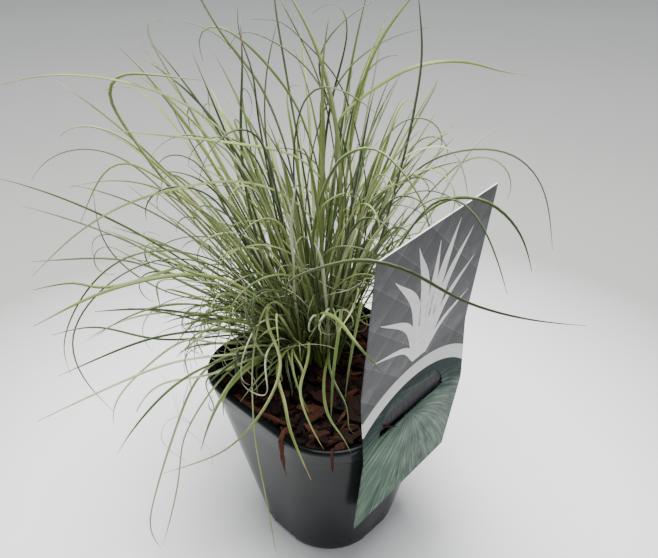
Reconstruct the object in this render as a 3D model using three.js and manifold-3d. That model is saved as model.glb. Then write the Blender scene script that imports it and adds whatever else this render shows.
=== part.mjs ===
// A clump of curly-leaved sedge in a square nursery pot with rounded corners.
// Millimetres, +Z up. The origin is on the ground under the middle of the pot,
// the pot's sides face along X and Y, and the care label hangs on the -Y side.
import * as THREE from 'three';
import { mergeVertices } from 'three/addons/utils/BufferGeometryUtils.js';
import Module from 'manifold-3d';

const wasm = await Module();
wasm.setup();

// Pot: half-sides are measured across the flat sides.
const POT_HEIGHT = 124;
const RIM_HALF = 65;
const RIM_CORNER = 35.5;
const BASE_HALF = 43.1;
const BASE_CORNER = 37.4;
const WALL_TOP_HALF = 61.4;
const COLLAR_HALF = 62.9;
const COLLAR_FOOT_Z = 111;
const LIP_DROP = 4.4;
const LIP_CREST_HALF = 63.2;
const LIP_INSIDE_HALF = 59.3;
const LIP_INSIDE_Z = 120.6;
const WALL = 1.6;
const FLOOR = 2;
const CORNER_STEPS = 5;
const DRAIN_HOLES = 8;
const DRAIN_RADIUS = 5;
const DRAIN_RING = 30;
const NOTCH_HIGH = 4.2;
const NOTCH_HALF_WIDTH = 10.5;
const NOTCH_BACK = 39.8;
const GAP = 0.35;

// What fills the pot.
const ROOT_BALL_TOP = 108;
const CROWN_SOCKET_FLOOR = 99.5;
const MULCH_BOTTOM = ROOT_BALL_TOP + GAP;
const MULCH_TOP = 114;
const CHIP_CEILING = 120.8;
const CHIP_COUNT = 58;
const CHIP_LENGTH = [9, 21];
const CHIP_WIDTH = [4.5, 9];
const CHIP_THICKNESS = [1.8, 3.2];
const CHIP_TILT = 0.3;
const CHIP_LIFT = 2.6;
const CHIP_SEED = 5000;
const MULCH_FROM = 8;
const MULCH_TO = 66;
const GOLDEN_ANGLE = 137.508;

// Crown: six clumps of shoots, one in the middle and five around it, set back
// from the label's side of the pot.
const CROWN_X = 11;
const CROWN_Y = 25;
const CLUMP_RING = 15;
const FIRST_BEARING = -27.7;
const CORE_SIDES = 10;
const CORE_TOP = 137;
const CORE_PROFILE = [[6.9, 100], [7.2, 111], [7, 121], [5.7, 130], [3.3, CORE_TOP]];
const CORE_HOLE = 7.6;
const CORE_CLEAR = 1.6;
const ROOT_SPREAD = 4.7;
const ROOT_Z = 115;

// Leaves: a keeled three-sided blade.
const BLADE_THICKNESS = 0.7;
const PATH_STEPS = 48;
const CHORD_TOLERANCE = 1.8;
const MINGLED_LENGTH = 26;
const SAMPLE_SPACING = 2.5;
const CELL = 4;
const CELL_SHIFT = 512;
const CELL_SPAN = 1024;
const LOWEST_LEAN = 75;
const LOW_LEAF_SHORTER = 0.3;
const DROOP = [14, 62];
const DROOP_POWER = [1.5, 2.6];
const SWEEP = 50;
const CURLY_SHARE = 0.42;
const CURL = [40, 190];
const CURL_POWER = 1.4;
const SIDE_CURL = 160;
const CURL_START = [0.66, 0.84];
const BLADE_WIDTH = [1.5, 2.3];
const TRIES = 14;
const ROUTE_TRIES = 40;
const ROUTE_SHIFT = 0.3;
const SPARE_ROOM = 0.9;
const SISTER_ROOM = 0.2;
const MULCH_CLEAR = 121.6;
const RIM_CLEAR = 1.9;
const UNDER_COLLAR_Z = COLLAR_FOOT_Z - 8;
const GROUND_CLEAR = 1.4;

// Care label: a stiff sheet on the rim, bent twice, its tongue hooked inside the
// pot. Across and along are measured in the sheet, which is turned a little.
const LABEL_THICKNESS = 0.8;
const LABEL_OFF = 66.6;
const LABEL_LEFT = -41.5;
const LABEL_RIGHT = 48.2;
const LABEL_TOP = 255.3;
const LABEL_BOTTOM = 49.5;
const LABEL_TURN = 5.25;
const LABEL_LOW_BEND = 120;
const LABEL_HIGH_BEND = 165;
const LABEL_LEAN = 0.144;
const LABEL_TUCK = 0.163;
const LABEL_CENTRE = 3;
const SLOT_WIDTH = 57;
const SLOT_LOW = 128.7;
const SLOT_RISE = 23;
const SLOT_CENTRE = -0.5;
const SLOT_STEPS = 14;
const SLOT_CUTTER = 4;
const TONGUE_LOW_HALF = 18;
const TONGUE_HIGH_HALF = 9;
const TONGUE_TOP_Z = 154;
const TONGUE_END_OFF = 57.6;
const TONGUE_END_Z = 118;
const TONGUE_ROOM = 4;
const LABEL_CLEAR = 2.1;

const DEGREE = Math.PI / 180;

// Seeded draws: the same sequence for the same seed.
function draws(seed) {
  let state = (seed * 7919 + 12345) % 2147483647;
  const next = () => {
    state = (state * 48271) % 2147483647;
    return state / 2147483647;
  };
  next();
  next();
  return next;
}

function between(low, high, share) {
  return low + (high - low) * share;
}

// Solids and booleans.
function toSolid(geometry) {
  const bare = geometry.clone();
  bare.deleteAttribute('normal');
  bare.deleteAttribute('uv');
  const merged = mergeVertices(bare, 1e-4);
  return new wasm.Manifold(new wasm.Mesh({
    numProp: 3,
    vertProperties: new Float32Array(merged.attributes.position.array),
    triVerts: new Uint32Array(merged.index.array),
  }));
}

function toGeometry(solid) {
  const mesh = solid.getMesh();
  const geometry = new THREE.BufferGeometry();
  geometry.setAttribute('position', new THREE.BufferAttribute(mesh.vertProperties, 3));
  geometry.setIndex(new THREE.BufferAttribute(mesh.triVerts, 1));
  geometry.computeVertexNormals();
  return geometry;
}

// A closed body through rings of equal length, each counter-clockwise about the
// direction of travel, with a flat fan at both ends.
function loft(rings, tip = null) {
  const positions = [];
  const index = [];
  const count = rings[0].length;
  for (const ring of rings) {
    for (const point of ring) positions.push(point.x, point.y, point.z);
  }
  for (let level = 0; level + 1 < rings.length; level += 1) {
    for (let k = 0; k < count; k += 1) {
      const a = level * count + k;
      const b = level * count + (k + 1) % count;
      index.push(a, b, b + count, a, b + count, a + count);
    }
  }
  const last = (rings.length - 1) * count;
  for (let k = 1; k + 1 < count; k += 1) index.push(0, k + 1, k);
  if (tip) {
    const apex = positions.length / 3;
    positions.push(tip.x, tip.y, tip.z);
    for (let k = 0; k < count; k += 1) index.push(last + k, last + (k + 1) % count, apex);
  } else {
    for (let k = 1; k + 1 < count; k += 1) index.push(last, last + k, last + k + 1);
  }
  const geometry = new THREE.BufferGeometry();
  geometry.setAttribute('position', new THREE.Float32BufferAttribute(positions, 3));
  geometry.setIndex(index);
  return geometry;
}

// Half-side of the pot's smooth outline at a height, without its lip and steps.
function outlineHalf(z) {
  return between(BASE_HALF, RIM_HALF, z / POT_HEIGHT);
}

function wallHalf(z) {
  return between(BASE_HALF, WALL_TOP_HALF, z / COLLAR_FOOT_Z);
}

function cornerRadius(half, z) {
  const radius = between(BASE_CORNER, RIM_CORNER, z / POT_HEIGHT);
  return radius - (outlineHalf(z) - half);
}

function squareRing(half, z) {
  const radius = cornerRadius(half, z);
  const ring = [];
  for (let corner = 0; corner < 4; corner += 1) {
    const turn = corner * 90;
    const cx = (half - radius) * (corner === 0 || corner === 3 ? 1 : -1);
    const cy = (half - radius) * (corner < 2 ? 1 : -1);
    for (let step = 0; step <= CORNER_STEPS; step += 1) {
      const angle = (turn + 90 * step / CORNER_STEPS) * DEGREE;
      ring.push(new THREE.Vector3(cx + radius * Math.cos(angle), cy + radius * Math.sin(angle), z));
    }
  }
  return ring;
}

function cylinder(radius, low, high, sides) {
  const geometry = new THREE.CylinderGeometry(radius, radius, high - low, sides);
  geometry.rotateX(Math.PI / 2);
  geometry.translate(0, 0, (low + high) / 2);
  return geometry;
}

// A block across the foot of one side of the pot, from one distance out to another.
function footBlock(side, low, high, inner, outer, halfWidth) {
  const block = new THREE.BoxGeometry(outer - inner, 2 * halfWidth, high - low);
  block.translate((inner + outer) / 2, 0, (low + high) / 2);
  block.rotateZ(side * Math.PI / 2);
  return toSolid(block);
}

// The pot stands on its corners: under each side a notch lets water out.
function makePot() {
  const lipFoot = POT_HEIGHT - LIP_DROP;
  const profile = [
    [BASE_HALF - 2.8, 0],
    [BASE_HALF - 0.7, 1],
    [BASE_HALF + 0.3, 3.2],
    [WALL_TOP_HALF, COLLAR_FOOT_Z],
    [COLLAR_HALF - 0.3, COLLAR_FOOT_Z + 1.2],
    [COLLAR_HALF, lipFoot],
    [RIM_HALF - 0.3, lipFoot + 0.3],
    [RIM_HALF, lipFoot + 1.4],
    [RIM_HALF - 0.2, POT_HEIGHT - 1.2],
    [LIP_CREST_HALF + 0.9, POT_HEIGHT - 0.2],
    [LIP_CREST_HALF, POT_HEIGHT],
    [LIP_INSIDE_HALF + 0.6, LIP_INSIDE_Z + 1],
    [LIP_INSIDE_HALF, LIP_INSIDE_Z],
    [LIP_INSIDE_HALF, COLLAR_FOOT_Z - 1],
    [wallHalf(FLOOR) - WALL, FLOOR],
  ];
  let solid = toSolid(loft(profile.map(([half, z]) => squareRing(half, z))));
  for (let k = 0; k < DRAIN_HOLES; k += 1) {
    const hole = cylinder(DRAIN_RADIUS, -1, FLOOR + 1, 10);
    const angle = (k + 0.5) * 2 * Math.PI / DRAIN_HOLES;
    hole.translate(DRAIN_RING * Math.cos(angle), DRAIN_RING * Math.sin(angle), 0);
    solid = solid.subtract(toSolid(hole));
  }
  for (let side = 0; side < 4; side += 1) {
    const lining = footBlock(side, FLOOR / 2, NOTCH_HIGH + WALL, NOTCH_BACK - WALL, NOTCH_BACK + WALL,
      NOTCH_HALF_WIDTH + WALL);
    const notch = footBlock(side, -1, NOTCH_HIGH, NOTCH_BACK, RIM_HALF, NOTCH_HALF_WIDTH);
    solid = solid.add(lining).subtract(notch);
  }
  return solid;
}

// Half-side of the space inside the pot, less the working gap.
function insideHalf(z) {
  return Math.min(wallHalf(z) - WALL, LIP_INSIDE_HALF) - GAP;
}

function clumpCentre(clump) {
  if (clump.place === null) return [CROWN_X, CROWN_Y];
  const bearing = (FIRST_BEARING + 72 * clump.place) * DEGREE;
  return [CROWN_X + CLUMP_RING * Math.cos(bearing), CROWN_Y + CLUMP_RING * Math.sin(bearing)];
}

function makeRootBall(clumps) {
  const low = FLOOR + GAP;
  let solid = toSolid(loft([low, ROOT_BALL_TOP].map((z) => squareRing(insideHalf(z), z))));
  for (const clump of clumps) {
    const hole = cylinder(CORE_HOLE, CROWN_SOCKET_FLOOR, ROOT_BALL_TOP + 1, CORE_SIDES * 2);
    hole.translate(...clumpCentre(clump), 0);
    solid = solid.subtract(toSolid(hole));
  }
  for (let side = 0; side < 4; side += 1) {
    const lining = footBlock(side, 0, NOTCH_HIGH + WALL + GAP, NOTCH_BACK - WALL - GAP, RIM_HALF,
      NOTCH_HALF_WIDTH + WALL + GAP);
    solid = solid.subtract(lining);
  }
  return solid;
}

// Chips of bark lie at all angles on a thin bed of the same bark.
function makeMulch(clumps) {
  let solid = toSolid(loft([MULCH_BOTTOM, MULCH_TOP].map((z) => squareRing(insideHalf(z), z))));
  for (let k = 0; k < CHIP_COUNT; k += 1) {
    const random = draws(CHIP_SEED + k);
    const chip = new THREE.BoxGeometry(
      between(...CHIP_LENGTH, random()),
      between(...CHIP_WIDTH, random()),
      between(...CHIP_THICKNESS, random()),
    );
    chip.rotateX((random() - 0.5) * 2 * CHIP_TILT);
    chip.rotateY((random() - 0.5) * 2 * CHIP_TILT);
    chip.rotateZ(random() * Math.PI);
    const reach = between(MULCH_FROM, MULCH_TO, Math.sqrt((k + 0.5) / CHIP_COUNT));
    const angle = k * GOLDEN_ANGLE * DEGREE;
    const lift = MULCH_TOP + CHIP_LIFT * random();
    chip.translate(reach * Math.cos(angle), reach * Math.sin(angle), lift);
    solid = solid.add(toSolid(chip));
  }
  const inside = loft([MULCH_BOTTOM, CHIP_CEILING].map((z) => squareRing(insideHalf(z), z)));
  solid = solid.intersect(toSolid(inside));
  for (const clump of clumps) {
    const hole = cylinder(CORE_HOLE, MULCH_BOTTOM - 1, CHIP_CEILING + 1, CORE_SIDES * 2);
    hole.translate(...clumpCentre(clump), 0);
    solid = solid.subtract(toSolid(hole));
  }
  const tongueRoom = new THREE.BoxGeometry(2 * (TONGUE_LOW_HALF + TONGUE_ROOM), 6, 10);
  tongueRoom.translate(LABEL_CENTRE, -TONGUE_END_OFF, TONGUE_END_Z + TONGUE_ROOM);
  return largestPiece(solid.subtract(toSolid(tongueRoom)));
}

function largestPiece(solid) {
  const pieces = solid.decompose();
  return pieces.reduce((best, piece) => (piece.volume() > best.volume() ? piece : best));
}

// Distance of the label's middle plane in front of the pot's axis.
function labelOff(along) {
  const above = Math.max(0, along - LABEL_HIGH_BEND);
  const below = Math.max(0, LABEL_LOW_BEND - along);
  return LABEL_OFF + above * LABEL_LEAN - below * LABEL_TUCK;
}

// A place on the turned sheet as X and Z.
function fromSheet(across, along) {
  const turn = LABEL_TURN * DEGREE;
  const du = across - LABEL_CENTRE;
  const dv = along - LABEL_LOW_BEND;
  return [
    LABEL_CENTRE + du * Math.cos(turn) - dv * Math.sin(turn),
    LABEL_LOW_BEND + du * Math.sin(turn) + dv * Math.cos(turn),
  ];
}

function toSheet(x, z) {
  const turn = LABEL_TURN * DEGREE;
  const dx = x - LABEL_CENTRE;
  const dz = z - LABEL_LOW_BEND;
  return [
    LABEL_CENTRE + dx * Math.cos(turn) + dz * Math.sin(turn),
    LABEL_LOW_BEND - dx * Math.sin(turn) + dz * Math.cos(turn),
  ];
}

// A flat body between two faces, from corners [x, z, off].
function slab(corners) {
  const faces = [-0.5, 0.5].map((side) => corners.map(
    ([x, z, off]) => new THREE.Vector3(x, -(off + side * LABEL_THICKNESS), z),
  ));
  return toSolid(loft(faces));
}

// The part of the sheet between two heights along it.
function sheetPart(low, high) {
  const corner = (across, along) => [...fromSheet(across, along), labelOff(along)];
  return slab([
    corner(LABEL_LEFT, low),
    corner(LABEL_RIGHT, low),
    corner(LABEL_RIGHT, high),
    corner(LABEL_LEFT, high),
  ]);
}

// The slot is an arch over a straight foot.
function slotCutter() {
  const outline = [];
  for (let k = 0; k <= SLOT_STEPS; k += 1) {
    const angle = Math.PI * k / SLOT_STEPS;
    const across = SLOT_CENTRE + SLOT_WIDTH / 2 * Math.cos(angle);
    outline.push(fromSheet(across, SLOT_LOW + SLOT_RISE * Math.sin(angle)));
  }
  return toSolid(loft([-LABEL_OFF + SLOT_CUTTER, -LABEL_OFF - SLOT_CUTTER].map(
    (y) => outline.map(([x, z]) => new THREE.Vector3(x, y, z)),
  )));
}

// The tongue starts in the sheet above the slot and ends inside the lip.
function makeTongue() {
  return slab([
    [LABEL_CENTRE - TONGUE_LOW_HALF, TONGUE_END_Z, TONGUE_END_OFF],
    [LABEL_CENTRE + TONGUE_LOW_HALF, TONGUE_END_Z, TONGUE_END_OFF],
    [LABEL_CENTRE + TONGUE_HIGH_HALF, TONGUE_TOP_Z, LABEL_OFF],
    [LABEL_CENTRE - TONGUE_HIGH_HALF, TONGUE_TOP_Z, LABEL_OFF],
  ]);
}

function makeLabel() {
  const bends = [LABEL_BOTTOM, LABEL_LOW_BEND, LABEL_HIGH_BEND, LABEL_TOP];
  const [lower, middle, upper] = [0, 1, 2].map((k) => sheetPart(bends[k], bends[k + 1]));
  return lower.add(middle).add(upper).subtract(slotCutter()).add(makeTongue());
}

// Signed distance outside a rounded square.
function outsideSquare(x, y, half, radius) {
  const dx = Math.abs(x) - (half - radius);
  const dy = Math.abs(y) - (half - radius);
  if (dx > 0 && dy > 0) return Math.hypot(dx, dy) - radius;
  return Math.max(dx, dy) - radius;
}

function coreRadius(z) {
  for (let k = 1; k < CORE_PROFILE.length; k += 1) {
    const [r0, z0] = CORE_PROFILE[k - 1];
    const [r1, z1] = CORE_PROFILE[k];
    if (z <= z1) return between(r0, r1, (z - z0) / (z1 - z0));
  }
  return z < CORE_TOP + CORE_CLEAR ? CORE_PROFILE[CORE_PROFILE.length - 1][0] : -Infinity;
}

// Whether a leaf would touch the rim, the wall or the bark.
function nearPot(p) {
  if (p.z >= POT_HEIGHT + RIM_CLEAR) return false;
  const out = outsideSquare(p.x, p.y, RIM_HALF, RIM_CORNER);
  const lipInside = -(RIM_HALF - LIP_INSIDE_HALF) - RIM_CLEAR;
  if (out < lipInside) return p.z < MULCH_CLEAR;
  if (p.z > UNDER_COLLAR_Z) return out < RIM_CLEAR;
  return outsideSquare(p.x, p.y, wallHalf(p.z), BASE_CORNER) < RIM_CLEAR;
}

// Whether a leaf would touch the label or its tongue.
function nearLabel(p) {
  const off = -p.y;
  const [across, along] = toSheet(p.x, p.z);
  const overSheet = across > LABEL_LEFT - LABEL_CLEAR && across < LABEL_RIGHT + LABEL_CLEAR
    && along > LABEL_BOTTOM - LABEL_CLEAR && along < LABEL_TOP + LABEL_CLEAR;
  if (overSheet && Math.abs(off - labelOff(along)) < LABEL_CLEAR) return true;
  const besideTongue = Math.abs(p.x - LABEL_CENTRE) < TONGUE_LOW_HALF + TONGUE_ROOM;
  const atTongue = off > TONGUE_END_OFF - TONGUE_ROOM && off < LABEL_OFF;
  return besideTongue && atTongue && p.z < TONGUE_TOP_Z + LABEL_CLEAR;
}

// Whether a leaf would touch anything but other leaves.
function blocked(p, clump) {
  const [ownX, ownY] = clumpCentre(clump);
  if (Math.hypot(p.x - ownX, p.y - ownY) < coreRadius(p.z)) return false;
  const nearCore = CLUMPS.some((other) => {
    const [cx, cy] = clumpCentre(other);
    return other !== clump && Math.hypot(p.x - cx, p.y - cy) < coreRadius(p.z) + CORE_CLEAR;
  });
  return nearCore || p.z < GROUND_CLEAR || nearPot(p) || nearLabel(p);
}

// Every sample of every leaf so far, kept in cells for quick look-up.
class LeafSpace {
  constructor() {
    this.cells = new Map();
  }

  static key(x, y, z) {
    return ((x + CELL_SHIFT) * CELL_SPAN + (y + CELL_SHIFT)) * CELL_SPAN + (z + CELL_SHIFT);
  }

  static cell(p) {
    return [Math.floor(p.x / CELL), Math.floor(p.y / CELL), Math.floor(p.z / CELL)];
  }

  isFree(samples, width, clump) {
    for (const [p, travelled] of samples) {
      const [cx, cy, cz] = LeafSpace.cell(p);
      for (let i = -1; i <= 1; i += 1) {
        for (let j = -1; j <= 1; j += 1) {
          for (let k = -1; k <= 1; k += 1) {
            const near = this.cells.get(LeafSpace.key(cx + i, cy + j, cz + k));
            if (near && near.some((other) => tooNear(p, travelled, width, clump, other))) return false;
          }
        }
      }
    }
    return true;
  }

  fill(samples, width, clump) {
    for (const [p, travelled] of samples) {
      const key = LeafSpace.key(...LeafSpace.cell(p));
      if (!this.cells.has(key)) this.cells.set(key, []);
      this.cells.get(key).push({ p, travelled, width, clump });
    }
  }
}

// Leaves of one clump may touch where they leave it; no others ever do.
function tooNear(p, travelled, width, clump, other) {
  const sameClump = other.clump === clump;
  if (sameClump && (travelled < MINGLED_LENGTH || other.travelled < MINGLED_LENGTH)) return false;
  const room = (width + other.width) / 2 + (sameClump ? SISTER_ROOM : SPARE_ROOM);
  return p.distanceToSquared(other.p) < room * room;
}

// The fewest points of a path that keep it within a tolerance.
function thin(path, tolerance) {
  const keep = new Set([0, path.length - 1]);
  const split = (first, last) => {
    const line = new THREE.Line3(path[first], path[last]);
    let worst = 0;
    let place = -1;
    for (let k = first + 1; k < last; k += 1) {
      const away = line.closestPointToPoint(path[k], true, new THREE.Vector3()).distanceTo(path[k]);
      if (away > worst) {
        worst = away;
        place = k;
      }
    }
    if (worst > tolerance) {
      keep.add(place);
      split(first, place);
      split(place, last);
    }
  };
  split(0, path.length - 1);
  return [...keep].sort((a, b) => a - b);
}

function sampleChords(path, stations) {
  const samples = [];
  let travelled = 0;
  for (let k = 1; k < stations.length; k += 1) {
    const from = path[stations[k - 1]];
    const to = path[stations[k]];
    const steps = Math.max(1, Math.ceil(from.distanceTo(to) / SAMPLE_SPACING));
    for (let s = 1; s <= steps; s += 1) {
      samples.push([from.clone().lerp(to, s / steps), travelled + from.distanceTo(to) * s / steps]);
    }
    travelled += from.distanceTo(to);
  }
  return samples;
}

// A smooth curve guided by a list of points, in equal steps.
function guidedPath(points) {
  const first = points[0].clone().multiplyScalar(2).sub(points[1]);
  const last = points[points.length - 1].clone().multiplyScalar(2).sub(points[points.length - 2]);
  const all = [first, ...points, last];
  const fine = [];
  const finePerSpan = 16;
  for (let span = 0; span + 3 < all.length; span += 1) {
    for (let s = 0; s < finePerSpan; s += 1) {
      const t = s / finePerSpan;
      const weights = [
        (1 - t) ** 3,
        3 * t ** 3 - 6 * t ** 2 + 4,
        -3 * t ** 3 + 3 * t ** 2 + 3 * t + 1,
        t ** 3,
      ];
      const point = new THREE.Vector3();
      weights.forEach((weight, k) => point.addScaledVector(all[span + k], weight / 6));
      fine.push(point);
    }
  }
  fine.push(points[points.length - 1].clone());
  return evenSteps(fine);
}

function evenSteps(fine) {
  const lengths = [0];
  for (let k = 1; k < fine.length; k += 1) lengths.push(lengths[k - 1] + fine[k].distanceTo(fine[k - 1]));
  const total = lengths[lengths.length - 1];
  const path = [];
  let k = 1;
  for (let step = 0; step <= PATH_STEPS; step += 1) {
    const target = total * step / PATH_STEPS;
    while (k < fine.length - 1 && lengths[k] < target) k += 1;
    const share = (target - lengths[k - 1]) / (lengths[k] - lengths[k - 1]);
    path.push(fine[k - 1].clone().lerp(fine[k], Math.min(1, share)));
  }
  return path;
}

// A leaf that grows from its root with a lean, droops and may curl at its tip.
function grownPath(root, habit) {
  const path = [root.clone()];
  const step = habit.length / PATH_STEPS;
  for (let k = 0; k < PATH_STEPS; k += 1) {
    const s = (k + 0.5) / PATH_STEPS;
    const curled = Math.max(0, (s - habit.curlStart) / (1 - habit.curlStart)) ** CURL_POWER;
    const angle = (habit.lean + habit.droop * s ** habit.power + habit.curl * curled) * DEGREE;
    const yaw = (habit.heading + habit.sweep * s * s + habit.sideCurl * curled) * DEGREE;
    const flat = Math.sin(angle);
    const direction = new THREE.Vector3(flat * Math.cos(yaw), flat * Math.sin(yaw), Math.cos(angle));
    path.push(path[k].clone().addScaledVector(direction, step));
  }
  return path;
}

function drawHabit(random, clump, outward) {
  const share = 0.55 * random() + 0.45 * outward;
  const lean = between(clump.lean[0], clump.lean[1], share ** 1.2);
  const heading = clump.heading === null ? random() * 360 : clump.heading + (random() - 0.5) * clump.fan;
  const reach = between(clump.length[0], clump.length[1], random());
  const length = reach * (1 - LOW_LEAF_SHORTER * lean / LOWEST_LEAN);
  const droop = between(...DROOP, random()) * (0.55 + lean / LOWEST_LEAN);
  const power = between(...DROOP_POWER, random());
  const sweep = (random() - 0.5) * SWEEP;
  const curls = random() < CURLY_SHARE;
  const curl = between(...CURL, random()) * (curls ? 1 : 0);
  const sideCurl = (random() - 0.5) * SIDE_CURL * (curls ? 1 : 0);
  const curlStart = between(...CURL_START, random());
  const width = between(...BLADE_WIDTH, random());
  return { lean, heading, length, droop, power, sweep, curl, sideCurl, curlStart, width };
}

function bladeWidth(share, width) {
  const base = 0.72 + 0.28 * Math.min(1, share / 0.12);
  const taper = share < 0.5 ? 1 : 1 - 0.78 * ((share - 0.5) / 0.5) ** 1.5;
  return Math.max(0.65, width * base * taper);
}

// A three-sided blade along a path: two edges and a keel below.
function bladeSolid(leaf) {
  const { path, stations, width } = leaf;
  const rings = [];
  const flat = new THREE.Vector3(path[PATH_STEPS].x - path[0].x, path[PATH_STEPS].y - path[0].y, 0.01);
  const side = new THREE.Vector3(-flat.y, flat.x, 0).normalize();
  for (let k = 0; k + 1 < stations.length; k += 1) {
    const here = path[stations[k]];
    const before = path[Math.max(0, stations[k] - 1)];
    const after = path[stations[k] + 1];
    const tangent = after.clone().sub(before).normalize();
    side.addScaledVector(tangent, -side.dot(tangent)).normalize();
    const face = new THREE.Vector3().crossVectors(tangent, side);
    const half = bladeWidth(stations[k] / PATH_STEPS, width) / 2;
    rings.push([
      here.clone().addScaledVector(side, half).addScaledVector(face, BLADE_THICKNESS * 0.4),
      here.clone().addScaledVector(side, -half).addScaledVector(face, BLADE_THICKNESS * 0.4),
      here.clone().addScaledVector(face, -BLADE_THICKNESS * 0.6),
    ]);
  }
  return toSolid(loft(rings, path[PATH_STEPS]));
}

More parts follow.
